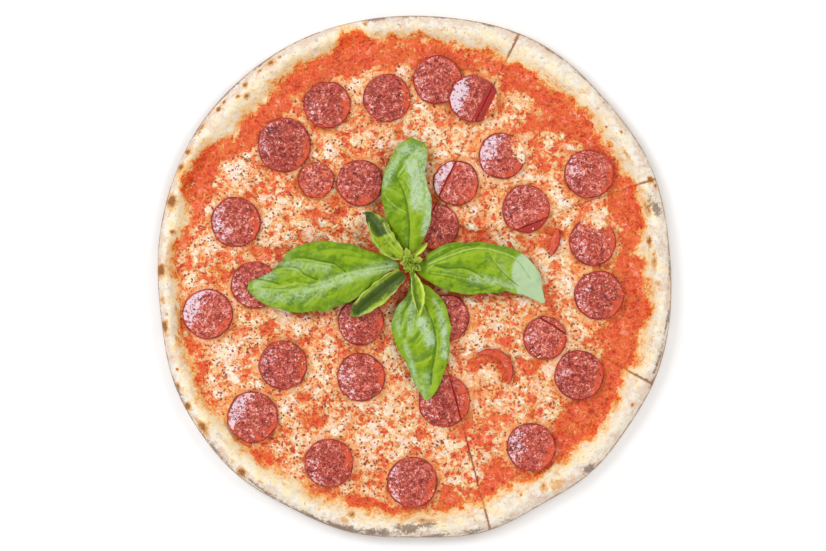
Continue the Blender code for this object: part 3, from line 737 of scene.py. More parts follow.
@dataclass(frozen=True)
class SauceFinish:
    """Wet pulpy tomato sauce with flecks of oil and cheese, which gives way to crust at its ragged border."""

    def build(self) -> Material:
        """The shared topping colours, then the crust's outside the border, drier there."""
        g = Graph("tomato_sauce_wet")
        topping, _ = ToppingColours().mixed(g, g.attribute("amount"))
        base, bare = CrustFinish().bordered(g, topping)
        rough = g.add(g.times(bare, 0.45), 0.28)
        relief = g.bump(g.noise(1.2, 5, 0.65), 0.30, 0.9)
        relief = g.bump(g.noise(2.6, 4, 0.66, 1.2), 1.4, 0.9, relief)
        return g.dress(Base_Color=base, Roughness=rough, Normal=relief, Specular_IOR_Level=0.35)


@dataclass(frozen=True)
class CheeseFinish:
    """Melted mozzarella broken up by orange oil and sauce."""

    oil: Colour = (0.86, 0.30, 0.065)
    pink: Colour = (1.0, 0.80, 0.74)

    def build(self) -> Material:
        """The shared topping colours, tinted by oil round the slices and by pale rose clouds."""
        g = Graph("cheese_melted")
        base, value = ToppingColours().mixed(g, g.attribute("amount"))
        oil = g.step(g.ragged("oil", 2.4, 3.2, 4, 0.6), 0.25, 0.85)
        base = g.tint(base, oil, 0.55, self.oil)
        rose = g.step(g.noise(5.0, 3), 0.52, 0.64)
        base = g.tint(base, rose, 0.6, self.pink, "MULTIPLY")
        # painted shade of the cuts where they stand open
        cut = g.ragged("cut_gap_shade", 1.0, 1.2, 3)
        base = g.tint(base, g.step(cut, 0.45, 0.85), 0.75, (0.26, 0.03, 0.01))
        relief = g.bump(g.noise(0.8, 4, 0.6), 0.20, 0.7)
        relief = g.bump(value, 0.45, 0.8, relief)
        return g.dress(Base_Color=base, Roughness=0.34, Normal=relief, Specular_IOR_Level=0.42)


@dataclass(frozen=True)
class MeatFinish:
    """Cured sausage: fine red grain with pale fat and dark spice, oily, partly under cheese or sauce."""

    dark: Colour = (0.075, 0.005, 0.004)
    deep: Colour = (0.25, 0.018, 0.010)
    red: Colour = (0.47, 0.058, 0.034)
    rose: Colour = (0.64, 0.15, 0.105)
    fat: Colour = (0.86, 0.47, 0.38)
    rim: Colour = (0.22, 0.004, 0.003)
    flush: Colour = (0.56, 0.030, 0.012)
    # the pale lilac of the painted sheen, a reflection of the lamps
    painted_sheen: Colour = (0.82, 0.68, 0.78)
    # the saturated red of the painted glow
    painted_glow_red: Colour = (0.66, 0.075, 0.014)

    def build(self) -> Material:
        """Grain picks the meat's colour; then a painted glow on the side away from the light, the deeper
        border, a painted sheen on the lit side, the covering food, and painted shade beside the cuts.
        """
        g = Graph("pepperoni_cured")
        grain = g.add(g.times(g.noise(1.5, 3, 0.72, 1.2), 0.62), g.times(g.noise(3.6, 3, 0.6, 1.0), 0.38))
        grain = g.add(grain, g.times(g.attribute("tone"), 0.030))
        base = g.ramp(grain, ((0.375, self.dark), (0.435, self.deep), (0.49, self.red), (0.545, self.rose),
                              (0.62, self.fat)))
        tone = g.step(g.noise(9, 3), 0.42, 0.60)
        base = g.tint(base, tone, 0.70, (0.84, 0.42, 0.34), "MULTIPLY")
        # painted glow: a saturated red on the side of each slice away from the light
        painted_glow = g.ragged("painted_glow", 2.8, 3.4, 3, 0.6)
        base = g.tint(base, g.step(painted_glow, 0.22, 0.75), 0.85, self.painted_glow_red)
        flush = g.ragged("border", 1.8, 3.0, 3)
        base = g.tint(base, g.step(flush, 0.10, 0.60), 0.70, self.flush)
        # painted sheen: a pale lilac reflection of the lamps on each slice's lit side, broken by clouds
        painted_sheen_mask = g.add(g.cloud(3.4, 1.5, 3, 0.72, 0.8), g.cloud(1.8, 3.6, 3))
        painted_sheen_mask = g.add(g.times(g.attribute("painted_sheen"), 1.25), painted_sheen_mask)
        base = g.tint(base, g.step(painted_sheen_mask, 0.46, 1.05), 0.78, self.painted_sheen)
        glints = g.times(g.step(g.cells(2.1), 0.22, 0.09), g.step(g.noise(5.0, 2), 0.48, 0.54))
        base = g.tint(base, glints, 0.50, self.fat)
        edge = g.add(g.attribute("border"), g.add(g.cloud(0.9, 2.2, 3), g.cloud(2.6, 7.0, 2)))
        base = g.tint(base, g.step(edge, 0.55, 0.95), 0.88, self.rim)
        specks = g.times(g.step(g.cells(2.1), 0.31, 0.14), g.step(g.noise(4.5, 2, 0.5, 0.7), 0.42, 0.50))
        base = g.tint(base, specks, 0.85, self.dark)
        veil = g.add(g.attribute("veil"), g.add(g.cloud(2.4, 2.4, 3, 0.65, 1.0), g.cloud(1.6, 4.4, 3)))
        cover, _ = ToppingColours().mixed(g, g.add(g.attribute("veil"), -0.35))
        base = g.tint(base, g.step(veil, 0.50, 0.80), 0.92, cover)
        # the dark band beside a cut: the cut side and painted shade beside it
        base = g.mix(g.step(g.ragged("cut_side_shade", 1.2, 1.6, 3), 0.4, 0.75), base, (0.36, 0.012, 0.006))
        relief = g.bump(g.noise(0.9, 4, 0.7), 0.22, 0.8)
        relief = g.bump(grain, 0.70, 0.8, relief)
        return g.dress(Base_Color=base, Roughness=0.34, Normal=relief, Specular_IOR_Level=0.40)


@dataclass(frozen=True)
class LeafFinish:
    """A waxy basil leaf with creases painted dark as shade, pale raised veins and painted highlights."""

    name: str
    main: Colour
    deep: Colour
    pale: Colour
    vein: Colour = (0.42, 0.58, 0.16)
    # the dark of painted shade in the creases
    crease_shade: Colour = (0.055, 0.130, 0.005)
    # the pale of painted highlights
    gloss: Colour = (0.45, 0.59, 0.37)

    def build(self) -> Material:
        """The leaf's crease, vein, gloss, shade and slope values pick its colour, with clouds between.
        slope is painted light and shade from the relief, gloss painted highlights, shade and crease painted
        shade.
        """
        g = Graph(self.name)
        cloud = g.add(g.times(g.noise(13, 3, 0.6, 0.5), 0.65), g.times(g.noise(3.0, 4, 0.65, 1.0), 0.35))
        base = g.ramp(cloud, ((0.36, self.deep), (0.47, self.main), (0.55, self.main), (0.66, self.pale)))
        # painted light and shade: paler where the relief faces the upper left, darker where it faces away; on
        # the bracts a tone of their own
        painted_light_and_tone = g.ragged("painted_light_and_tone", 1.0, 2.4, 3, 0.6, 1.0)
        base = g.tint(base, g.step(painted_light_and_tone, 0.05, 0.90), 0.80, self.pale)
        base = g.tint(base, g.step(painted_light_and_tone, -0.05, -0.90), 0.72, self.deep)
        # painted shade
        shade = g.ragged("shade", 1.1, 2.2, 4, 0.65, 1.0)
        base = g.tint(base, g.step(shade, 0.02, 1.0), 0.92, self.deep)
        # painted highlights, broken into streaks
        streaky = g.add(0.45, g.times(g.step(g.noise(2.8, 4, 0.65, 1.2), 0.38, 0.60), 0.75))
        highlight_streaks = g.times(g.attribute("gloss"), streaky)
        base = g.tint(base, g.step(highlight_streaks, 0.05, 0.95), 0.86, self.gloss)
        broken = g.add(g.times(g.step(g.noise(4.0, 3), 0.36, 0.56), 0.6), 0.4)
        rib = g.times(g.step(g.attribute("vein"), 0.15, 1.0), broken)
        base = g.tint(base, rib, 0.80, self.vein)
        # painted shade in the creases
        crease_shade_mask = g.times(g.step(g.attribute("crease_shade"), 0.10, 1.0), broken)
        base = g.tint(base, crease_shade_mask, 0.88, self.crease_shade)
        fine = g.bump(g.cells(1.7), 0.10, 0.45)
        relief = g.bump(g.noise(3.0, 4), 0.35, 0.6, fine)
        return g.dress(Base_Color=base, Roughness=0.38, Normal=relief, Specular_IOR_Level=0.20,
                       Subsurface_Weight=0.06, Subsurface_Radius=(0.0008, 0.0016, 0.0003),
                       Subsurface_Scale=0.5)


@dataclass(frozen=True)
class SpiceFinish:
    """Ground dried spice: a dark colour that changes from grain to grain."""

    name: str
    dark: Colour
    light: Colour

    def build(self) -> Material:
        """Cell colours differ from grain to grain."""
        g = Graph(self.name)
        tint = g.tree.nodes.new("ShaderNodeSeparateColor")
        g.link(g.cells(1.4, "Color"), tint.inputs[0])
        base = g.mix(tint.outputs[0], self.dark, self.light)
        return g.dress(Base_Color=base, Roughness=0.55, Normal=g.bump(g.noise(0.3, 3), 0.05, 0.5))


# ---- the food --------------------------------------------------------------------------------------------


@dataclass(frozen=True)
class Round:
    """One pepperoni slice.

    Places are photo pixels. dome_mm lifts its middle, rise_mm lifts it onto another slice and lean_deg is
    the side that is lifted most. bloom is how strongly a painted sheen, a pale reflection of the lamps,
    shows, and lit_side_deg the side toward the light where it shows; the slice tips down toward that side,
    and its far side gets a painted glow. veil is how far cheese and sauce cover it all over, right_veil adds
    to that on its right half, and covered lists places where they cover it more. tone makes it lighter or
    darker. cut_side_shade_mm gives the width of the dark band beside its cut, left and right: the cut side
    and painted shade there.
    """

    number: str
    px: tuple[float, float]
    wide_mm: float
    painted_sheen: float
    lit_side_deg: float
    cut: str = ""
    rise_mm: float = 0.0
    lean_deg: float = 0.0
    dome_mm: float = 0.5
    covered: tuple[tuple[float, float, float], ...] = ()
    veil: float = 0.0
    tone: float = 0.0
    cut_side_shade_mm: tuple[float, float] = (0.5, 0.5)
    right_veil: float = 0.0

    @property
    def middle(self) -> Array:
        """Its middle in metres."""
        return place(self.px)

    @property
    def radius(self) -> float:
        """Its usual radius in metres."""
        return self.wide_mm * MM / 2

    def cover(self, x: Array, y: Array) -> Array:
        """How far the listed places cover it: 1 in the middle of each, fading over its reach."""
        return spots(x, y, [(*mark, 1.0) for mark in self.covered])


ROUNDS: tuple[Round, ...] = (
    Round("01", (387, 98), 28.4, 0.25, 200, tone=-0.5),
    Round("02", (327, 105), 27.8, 0.35, 180, tone=-0.4, veil=0.12),
    Round("03", (284, 145), 31.9, 0.35, 170, tone=-0.9),
    Round("04", (437, 80), 29.0, 0.35, 190),
    Round("05", (473, 99), 28.4, 1.1, 165, "upper", 3.0, 152, cut_side_shade_mm=(2.6, 3.5), right_veil=0.75),
    Round("06", (502, 156), 27.8, 0.75, 145, covered=((518, 146, 12), (524, 158, 8)), veil=0.05),
    Round("07", (589, 174), 29.0, 0.5, 175, tone=0.2),
    Round("08", (456, 183), 27.4, 0.8, 150, "upper", tone=0.4),
    Round("09", (360, 183), 27.6, 0.15, 120, tone=-0.4),
    Round("10", (316, 180), 21.4, 0.1, 120, veil=0.33),
    Round("11", (236, 222), 29.6, 0.55, 190, tone=0.1),
    Round("12", (526, 209), 28.6, 0.35, 150, "right", tone=0.3, cut_side_shade_mm=(0.4, 9.0)),
    Round("14", (593, 242), 27.8, 0.35, 190, covered=((592, 219, 10), (604, 221, 9)), veil=0.22),
    Round("15", (599, 295), 29.0, 0.35, 160, tone=-0.2),
    Round("16", (208, 314), 29.8, 1.0, 150, tone=0.5),
    Round("17", (255, 285), 28.4, 0.4, 200),
    Round("18", (545, 338), 26.0, 0.85, 175, "lower_right", tone=0.3, cut_side_shade_mm=(0.0, 0.0)),
    Round("19", (579, 375), 29.4, 0.3, 180, tone=-0.4),
    Round("20", (283, 365), 29.0, 0.35, 190, tone=-0.5),
    Round("21", (361, 377), 28.6, 0.45, 200, veil=0.08),
    Round("22", (253, 417), 30.4, 0.8, 150, tone=0.3),
    Round("23", (329, 463), 29.0, 0.4, 200, tone=-0.1),
    Round("24", (412, 482), 30.0, 0.4, 170, tone=0.2),
    Round("25", (444, 401), 30.6, 0.5, 190, "lower", tone=-0.3),
    Round("26", (531, 447), 29.0, 0.6, 170, veil=0.08),
    Round("28", (361, 322), 27.4, 0.3, 190),
    Round("29", (446, 318), 27.6, 0.2, 90, "lower"),
    Round("30", (436, 227), 27.0, 0.1, 90, "upper", tone=-0.6),
    Round("31", (503, 276), 24.6, 0.1, 90),
)


@dataclass(frozen=True)
class Levels:
    """The heights at which the layers lie, which match the solids."""

    base: float = 4.0 * MM
    rim: float = 12.6 * MM
    gap: float = 0.3 * MM
    sauce_thick: float = 1.0 * MM
    cheese_thick: float = 1.6 * MM
    slice_thick: float = 1.5 * MM

    @property
    def sauce_low(self) -> float:
        """The sauce's underside."""
        return self.base + self.gap

    @property
    def sauce_top(self) -> float:
        """The sauce's usual top."""
        return self.sauce_low + self.sauce_thick

    @property
    def cheese_low(self) -> float:
        """The cheese's underside."""
        return self.sauce_top + self.gap

    @property
    def cheese_top(self) -> float:
        """The cheese's highest usual level."""
        return self.cheese_low + self.cheese_thick

    @property
    def slice_low(self) -> float:
        """The underside of the pepperoni slices."""
        return self.cheese_top + self.gap


@dataclass
class Dough:
    """The baked base with its puffed, floury rim."""

    plan: Plan
    levels: Levels
    seed: int = 11
    dip_deg: float = 103.0
    dip_wide_deg: float = 3.2
    dip_deep: float = 5.0 * MM
    arc_step: float = 0.78 * MM
    arcs_mm: tuple[float, ...] = (124, 121, 116, 590)
    crown: float = 0.60
    blisters: RimMarks = (
        (101, 149, 1.2, 1.0, 0.9), (107.5, 140, 0.8, 0.6, 1.2), (121.5, 149, 1.0, 0.8, 0.9),
        (124, 149, 2.0, 1.3, 1.0), (127, 149, 1.4, 0.8, 0.9), (131.5, 148, 1.6, 1.2, 1.1),
        (133, 142.5, 2.0, 1.2, 1.0), (134.5, 146, 1.2, 1.0, 0.9), (137.5, 149.5, 1.4, 0.8, 1.0),
        (139.5, 149, 1.5, 1.0, 1.0), (145, 150.5, 3.0, 1.0, 0.9), (151.3, 149.5, 1.6, 1.3, 1.2),
        (155.2, 148.7, 2.2, 1.8, 1.2), (162.7, 147, 3.0, 2.2, 1.3), (169.5, 142.5, 1.3, 1.8, 1.0),
        (178.7, 146.8, 2.8, 2.0, 1.3), (185.2, 146.5, 2.2, 1.5, 0.9), (191.2, 147.8, 2.6, 1.6, 1.25),
        (194.7, 142.3, 1.8, 1.2, 1.0), (188, 139.5, 2.5, 0.9, 0.8), (201.3, 147.5, 0.7, 0.7, 1.2),
        (205, 151, 2.5, 1.0, 0.7), (209.7, 151.3, 1.8, 1.8, 1.25), (215.5, 150.5, 4.5, 1.8, 0.95),
        (228.5, 151.2, 2.4, 2.4, 1.15), (255.2, 142.5, 1.8, 1.6, 1.0), (254, 147, 1.6, 1.4, 0.8),
        (233, 148.5, 2.0, 0.8, 0.6), (305, 147, 6.5, 3.0, 0.62), (296, 140.5, 0.8, 1.0, 1.3),
        (301.5, 143, 2.0, 2.6, 0.7), (329.5, 146.2, 1.4, 1.0, 1.0), (22.3, 147.6, 1.8, 1.6, 1.2),
        (20.6, 149, 1.2, 1.0, 1.1), (30, 141.8, 4.5, 0.8, 0.75), (35, 146, 0.7, 0.6, 1.1),
        (38, 140.8, 0.6, 0.6, 1.3), (4, 139, 6.0, 1.5, 0.8), (8.5, 137.5, 3.0, 1.4, 0.9),
        (17, 140.5, 4.0, 1.6, 0.9), (358, 140.5, 4.0, 2.2, 0.65), (345, 142.5, 5.0, 1.2, 0.5),
        (48, 146, 6.0, 3.0, 0.35), (339.5, 143, 3.0, 1.5, 0.5), (272, 141.5, 5.5, 1.2, 0.75),
        (283, 143, 4.0, 2.0, 0.4), (160.5, 150.8, 2.5, 0.8, 1.0), (247, 143, 5.0, 2.0, 0.35))
    scorches: RimMarks = (
        (98, 151.3, 5.5, 1.2, 1.1), (92, 151, 5, 0.9, 0.8), (73.5, 152.4, 4.5, 1.3, 0.9),
        (85, 151.2, 4, 0.8, 0.8), (126, 152.3, 5, 0.8, 0.9), (134, 152.2, 9, 0.7, 0.8),
        (146, 151.8, 5, 0.8, 0.6), (15.8, 145.5, 3.6, 2.0, 1.1), (17.5, 143, 3.0, 1.8, 0.8),
        (312.3, 150.6, 2.4, 1.8, 1.5), (254, 151.8, 9, 1.7, 1.25), (246, 151.6, 12, 1.3, 0.9),
        (262, 150.5, 8, 2.0, 0.95), (268.5, 146.2, 5.5, 2.4, 1.25), (272.5, 144, 5, 1.2, 1.0),
        (263, 149, 6, 2.2, 0.7), (235, 151.6, 14, 0.9, 0.75), (205, 152.3, 9, 1.0, 0.75),
        (198, 151.4, 6, 0.9, 0.7), (283, 151.6, 5, 1.3, 0.9), (275, 150.6, 6, 0.9, 0.8),
        (291, 151.2, 5, 1.0, 0.5), (336, 151, 3.0, 0.9, 1.2), (341, 149.6, 9, 0.8, 0.9),
        (350, 148.6, 8, 0.7, 0.9), (1.5, 148, 6, 0.7, 0.9), (58, 152.6, 9, 0.6, 0.7),
        (48, 151.5, 8, 0.6, 0.5), (221, 153, 12, 0.7, 0.7), (186, 149, 9, 0.6, 0.6))

    def grid(self, piece: str) -> tuple[Array, Array]:
        """The places of one piece's grid and each one's share across the rim.

        Rows run from the tip to where the rim begins to rise, then on across it, close together where its
        side is steep.
        """
        length = dict(zip(self.plan.pieces(), self.arcs_mm))[piece]
        turns = max(60, round(length * MM / self.arc_step))
        floor = fan_grid(self.plan, piece, self.plan.rise_radius, turns, np.array((0.0, 0.4, 0.8, 0.93, 1.0)))
        edge = fan_grid(self.plan, piece, self.plan.edge_radius, turns, np.array((0.0, 1.0)))[:, -1]
        inner = np.linspace(0, self.crown, 26)[1:]
        outer = self.crown + (1 - self.crown) * np.sin(np.linspace(0, math.pi / 2, 27)[1:])
        share = np.concatenate((inner, outer))
        foot = floor[:, -1]
        rim = foot[:, None, :] + share[None, :, None] * (edge - foot)[:, None, :]
        places = np.concatenate((floor, rim), axis=1)
        across = np.concatenate((np.zeros(5), share))
        return places, np.broadcast_to(across, places.shape[:2])

    def crown_height(self, x: Array, y: Array) -> Array:
        """How high the crown stands above the base: uneven, with a dip where sauce runs over it."""
        angle = np.arctan2(y, x)
        rise = self.levels.rim - self.levels.base + 1.1 * MM * fractal(x, y, 42 * MM, 2, self.seed)
        rise = rise + 0.6 * MM * fractal(x, y, 15 * MM, 2, self.seed + 1)
        off = np.degrees(np.angle(np.exp(1j * (angle - math.radians(self.dip_deg)))))
        return rise - self.dip_deep * np.exp(-(off / self.dip_wide_deg) ** 2)

    def top(self, x: Array, y: Array, across: Array) -> Array:
        """The upper height: a soft step up to the crown, then a quarter ellipse down to the side."""
        inside = smooth(across, -0.08, self.crown)
        outside = np.sqrt(np.clip(1 - ((across - self.crown) / (1 - self.crown)) ** 2, 0, 1))
        form = np.where(across < self.crown, inside, outside)
        bumps = 0.65 * MM * fractal(x, y, 7.5 * MM, 3, self.seed + 2)
        bumps = bumps + 0.25 * MM * fractal(x, y, 2.4 * MM, 3, self.seed + 3)
        pits = 0.35 * MM * smooth(lattice_noise(x, y, 3.4 * MM, self.seed + 4), 0.55, 0.95)
        blister = 0.6 * MM * rim_spots(x, y, self.blisters)
        fade = smooth(across, 0.03, 0.25) * smooth(1 - across, 0.0, 0.18)
        return self.levels.base + self.crown_height(x, y) * form + (bumps - pits + blister) * fade

    def low(self, across: Array) -> Array:
        """The lower height: flat, then a quarter ellipse up to the side."""
        share = np.clip((across - 0.84) / 0.16, 0, 1)
        return self.levels.base * (1 - np.sqrt(1 - share ** 2)) * 0.97

    def toast(self, x: Array, y: Array, across: Array) -> Array:
        """How toasted each place is: golden at blisters, along the thin left rim and in streaks."""
        left = smooth(-x, 0.04, 0.14) * 0.20
        streaks = 0.25 * smooth(fractal(x, y, 9 * MM, 3, self.seed + 5), 0.25, 0.8)
        spread_out = left * smooth(across, 0.35, 0.8) + streaks * smooth(across, 0.3, 0.9)
        return 1.8 * rim_spots(x, y, self.blisters) + spread_out - 0.16

    def wedge_line(self, x: Array, y: Array) -> Array:
        """How near a cut each place on the rim lies: 1 on it, fading over a millimetre."""
        return 1.1 * np.exp(-(self.plan.cut_distance(x, y) / (1.0 * MM)) ** 2)

    def paint(self, x: Array, y: Array, across: Array, cheese: "Cheese") -> dict[str, Array]:
        """The values that pick the crust's colours at each place, which the sauce's border shares.

        Args:
            x, y: places in metres.
            across: each place's share across the rim.
            cheese: for the amount of cheese and the open cuts.
        """
        on_top = smooth(1.0 - across, 0.0, 0.03)
        return {
            "across": across + 0 * x,
            "toast": self.toast(x, y, across) * on_top,
            "scorch": 1.75 * rim_spots(x, y, self.scorches) * on_top,
            "rind": smooth(across, 0.90, 0.99) + 0 * x,
            "butter": 0.45 * smooth(-x, -0.03, 0.12) - 0.75 * smooth(across, 0.45, 0.85),
            "ragged": self.plan.ragged(x, y),
            "amount": cheese.amount(x, y),
            # cutline: painted shade along the cuts over the rim and where they stand open
            "cut_gap_shade": np.maximum(self.wedge_line(x, y) * smooth(across, 0.0, 0.2), cheese.open_cut(x, y)),
        }

    def build(self, material: Material, cheese: "Cheese") -> None:
        """One closed piece for each cut piece of dough."""
        for piece in self.plan.pieces():
            places, across = self.grid(piece)
            x, y = places[..., 0], places[..., 1]
            top = np.dstack((places, self.top(x, y, across)))
            low_height = np.minimum(self.low(across), top[..., 2] - 0.05 * MM)
            low = np.dstack((places, low_height))
            data = slab(top, low, self.paint(x, y, across, cheese))
            add_piece(f"rim_and_base_{piece}", data, material, Slot.CRUST, f"dough_{piece}")


@dataclass
class Sauce:
    """The tomato sauce, which shows in a ring and between the cheese."""

    plan: Plan
    levels: Levels
    seed: int = 41
    arc_step: float = 1.18 * MM
    arcs_mm: tuple[float, ...] = (108, 106, 102, 530)

    def height(self, x: Array, y: Array) -> Array:
        """The sauce's top: pulpy lumps, and a fall below the dough where the rim's foot rises."""
        radius, angle = np.hypot(x, y), np.arctan2(y, x)
        inward = self.plan.sauce_radius(angle) - radius
        pulp = 0.45 * MM * fractal(x, y, 6.0 * MM, 4, self.seed)
        pulp = pulp + 0.30 * MM * fractal(x, y, 2.2 * MM, 2, self.seed + 1)
        heap = 0.8 * MM * smooth(inward, 2 * MM, 7 * MM) * smooth(radius, 0.095, 0.115)
        sunk = 0.7 * MM * smooth(2.2 * MM - inward, 0, 2.2 * MM)
        return self.levels.sauce_top - 0.25 * MM + heap + pulp * smooth(inward, 0, 3 * MM) - sunk

    def build(self, material: Material, cheese: "Cheese", dough: Dough) -> None:
        """One closed piece for each cut piece of sauce."""
        for piece in self.plan.pieces():
            length = dict(zip(self.plan.pieces(), self.arcs_mm))[piece]
            turns = round(length * MM / self.arc_step)
            rows = round(139 * MM / (1.1 * self.arc_step))
            places = fan_grid(self.plan, piece, self.plan.sauce_radius, turns, np.linspace(0, 1, rows) ** 0.8)
            x, y = places[..., 0], places[..., 1]
            top = np.dstack((places, self.height(x, y)))
            low = np.dstack((places, np.full(x.shape, self.levels.sauce_low)))
            low[..., 2] = np.minimum(low[..., 2], top[..., 2] - 0.02 * MM)
            data = slab(top, low, dough.paint(x, y, np.zeros_like(x), cheese))
            add_piece(f"tomato_sauce_{piece}", data, material, Slot.SAUCE, f"sauce_{piece}")


@dataclass
class Cheese:
    """The melted cheese: a lumpy sheet that dips under the sauce where there is none."""

    plan: Plan
    levels: Levels
    seed: int = 71
    arc_step: float = 1.10 * MM
    arcs_mm: tuple[float, ...] = (96, 94, 92, 480)
    pools: Marks = (
        (235, 170, 13, 0.42), (240, 190, 9, 0.45), (352, 85, 8, 0.35), (354, 112, 8, 0.40),
        (362, 145, 9, 0.40), (215, 355, 13, 0.42), (530, 150, 11, 0.35), (528, 172, 9, 0.45),
        (548, 195, 12, 0.45), (562, 200, 10, 0.4), (600, 212, 12, 0.38), (590, 335, 12, 0.40),
        (440, 440, 12, 0.42), (448, 468, 11, 0.35), (400, 430, 12, 0.40), (420, 130, 10, 0.38),
        (466, 200, 9, 0.5), (232, 350, 9, 0.35), (300, 330, 12, 0.25), (500, 320, 12, 0.3),
        (470, 300, 8, 0.3), (385, 372, 7, 0.4), (270, 455, 8, 0.2), (360, 440, 12, 0.22),
        (330, 210, 10, 0.15), (462, 142, 12, 0.32), (450, 455, 13, 0.30), (515, 115, 11, 0.35),
        (480, 375, 5, 0.5), (491, 383, 5, 0.5), (500, 325, 12, 0.15))
    dabs: Marks = (
        (232, 128, 7, 0.9), (285, 468, 6, 0.7), (262, 462, 5, 0.5), (226, 118, 5, 0.5), (216, 395, 7, 0.4))
    red_places_and_shade: Marks = (
        (200, 372, 9, 0.7), (262, 455, 8, 0.5), (360, 500, 9, 0.6), (190, 345, 7, 0.4), (343, 215, 9, 0.3),
        (322, 240, 8, 0.4), (250, 375, 7, 0.35), (305, 398, 9, 0.35), (350, 350, 8, 0.35),
        (300, 300, 8, 0.2), (462, 235, 9, 0.25), (530, 250, 9, 0.3), (550, 300, 9, 0.2),
        (470, 420, 10, 0.25), (500, 400, 8, 0.2), (535, 140, 7, 0.45), (545, 125, 8, 0.5),
        (320, 130, 8, 0.3), (300, 185, 9, 0.35), (270, 190, 9, 0.2), (255, 250, 9, 0.3),
        (215, 270, 9, 0.25), (575, 265, 8, 0.15), (380, 345, 8, 0.3), (265, 330, 7, 0.2),
        (484, 359, 6, 0.7), (494, 359, 7, 0.7), (503, 367, 7, 0.7), (505, 380, 6, 0.7), (474, 363, 5, 0.6),
        (548, 232, 7, 0.5), (546, 244, 6, 0.45), (305, 220, 14, 0.12), (315, 420, 16, 0.16),
        # these five paint the shade under the sprig's middle as dark sauce
        (413, 272, 17, 0.9), (392, 262, 7, 0.8), (385, 300, 7, 0.8), (428, 288, 7, 0.8), (455, 300, 6, 0.4),
        (449, 494, 10, 0.6), (488, 480, 10, 0.7), (497, 465, 8, 0.6), (380, 504, 8, 0.5))

    def amount(self, x: Array, y: Array) -> Array:
        """How much cheese lies at each place: 0 is bare sauce and 1 is a thick white pool.

        Cloudy noise plus the pools and less the red places, among them painted shade under the sprig, times a
        soft uneven fall at the cheese's edge, past which a little stays in the ring where the photo shows it
        thin.
        """
        radius, angle = np.hypot(x, y), np.arctan2(y, x)
        wander = 4.5 * MM * fractal(x, y, 13 * MM, 3, self.seed + 3)
        inside = smooth(self.plan.cheese.radius(angle) + wander - radius, -4.5 * MM, 3.5 * MM)
        cloud = 0.28 * fractal(x, y, 11 * MM, 2, self.seed) + 0.30 * fractal(x, y, 4.4 * MM, 3, self.seed + 1)
        body = 0.405 + cloud + 0.70 * spots(x, y, self.pools) - spots(x, y, self.red_places_and_shade)
        turned = np.degrees(angle) % 360
        ring = -0.06 + 0.30 * np.exp(-((turned - 214) / 26) ** 2) + 0.12 * np.exp(-((turned - 280) / 22) ** 2)
        ring = ring + 0.12 * np.exp(-((turned - 175) / 14) ** 2)
        ring = ring + 0.20 * fractal(x, y, 7 * MM, 3, self.seed + 8)
        ring = ring + spots(x, y, self.dabs) - spots(x, y, self.red_places_and_shade)
        return np.clip(body, -0.1, 1.1) * inside + np.clip(ring, -0.2, 1) * (1 - inside)

    def height(self, x: Array, y: Array) -> Array:
        """The cheese's top: below the sauce where there is none, lumpy where there is."""
        amount = self.amount(x, y)
        radius, angle = np.hypot(x, y), np.arctan2(y, x)
        lumps = 0.28 * MM * fractal(x, y, 2.6 * MM, 3, self.seed + 5)
        rise = smooth(amount, -0.1, 0.50) * 2.2 * MM + 0.35 * MM * smooth(amount, 0.5, 1.1)
        rise = rise * smooth(self.plan.cheese_limit(angle) - radius, 0.3 * MM, 5 * MM)
        rise = self.levels.sauce_top - 0.9 * MM + rise + lumps
        for item in ROUNDS:
            rise = rise + 1.2 * MM * item.cover(x, y)
        groove = np.exp(-(self.plan.cut_distance(x, y) / (1.1 * MM)) ** 2)
        return rise - 0.4 * MM * groove + 0.6 * MM * self.hug(x, y)

    def hug(self, x: Array, y: Array) -> Array:
        """How near the edge of a slice each place lies: 1 at the edge, fading over three millimetres."""
        most = np.zeros(np.shape(x))
        for item in ROUNDS:
            out = np.hypot(x - item.middle[0], y - item.middle[1]) - item.radius
            most = np.maximum(most, np.exp(-(out / (2.8 * MM)) ** 2) * (out > -2 * MM))
        return most

    def oil(self, x: Array, y: Array) -> Array:
        """The red oil that gathers round each slice and in wide clouds."""
        return 0.75 * self.hug(x, y) + 0.45 * smooth(fractal(x, y, 16 * MM, 2, self.seed + 7), 0.1, 0.7)

    def build(self, material: Material) -> None:
        """One closed piece for each cut piece of cheese."""
        for piece in self.plan.pieces():
            length = dict(zip(self.plan.pieces(), self.arcs_mm))[piece]
            turns = round(length * MM / self.arc_step)
            rows = round(125 * MM / (1.05 * self.arc_step))
            places = fan_grid(self.plan, piece, self.plan.cheese_limit, turns, np.linspace(0, 1, rows) ** 0.8)
            x, y = places[..., 0], places[..., 1]
            top = np.dstack((places, self.height(x, y)))
            low = np.dstack((places, np.full(x.shape, self.levels.sauce_top - 1.6 * MM)))
            values = {"amount": self.amount(x, y), "oil": self.oil(x, y), "cut_gap_shade": self.open_cut(x, y)}
            data = slab(top, low, values)
            add_piece(f"melted_cheese_{piece}", data, material, Slot.CHEESE, f"cheese_{piece}")

    def open_cut(self, x: Array, y: Array) -> Array:
        """Where a cut is painted dark as the shade in an open gap: the outer half of the lower cut and the
        ends of the others.
        """
        lines = {name: [place(p) for p in line] for name, line in self.plan.cuts_px().items()}
        starts = {"lower": 0.088, "lower_right": 0.125, "right": 0.118, "upper": 0.112}
        radius = np.hypot(x, y)
        total = np.zeros(np.shape(x))
        for name, line in lines.items():
            near = np.exp(-(line_distance(x, y, line) / (0.85 * MM)) ** 2)
            total = np.maximum(total, near * smooth(radius, starts[name], starts[name] + 0.008))
        return total


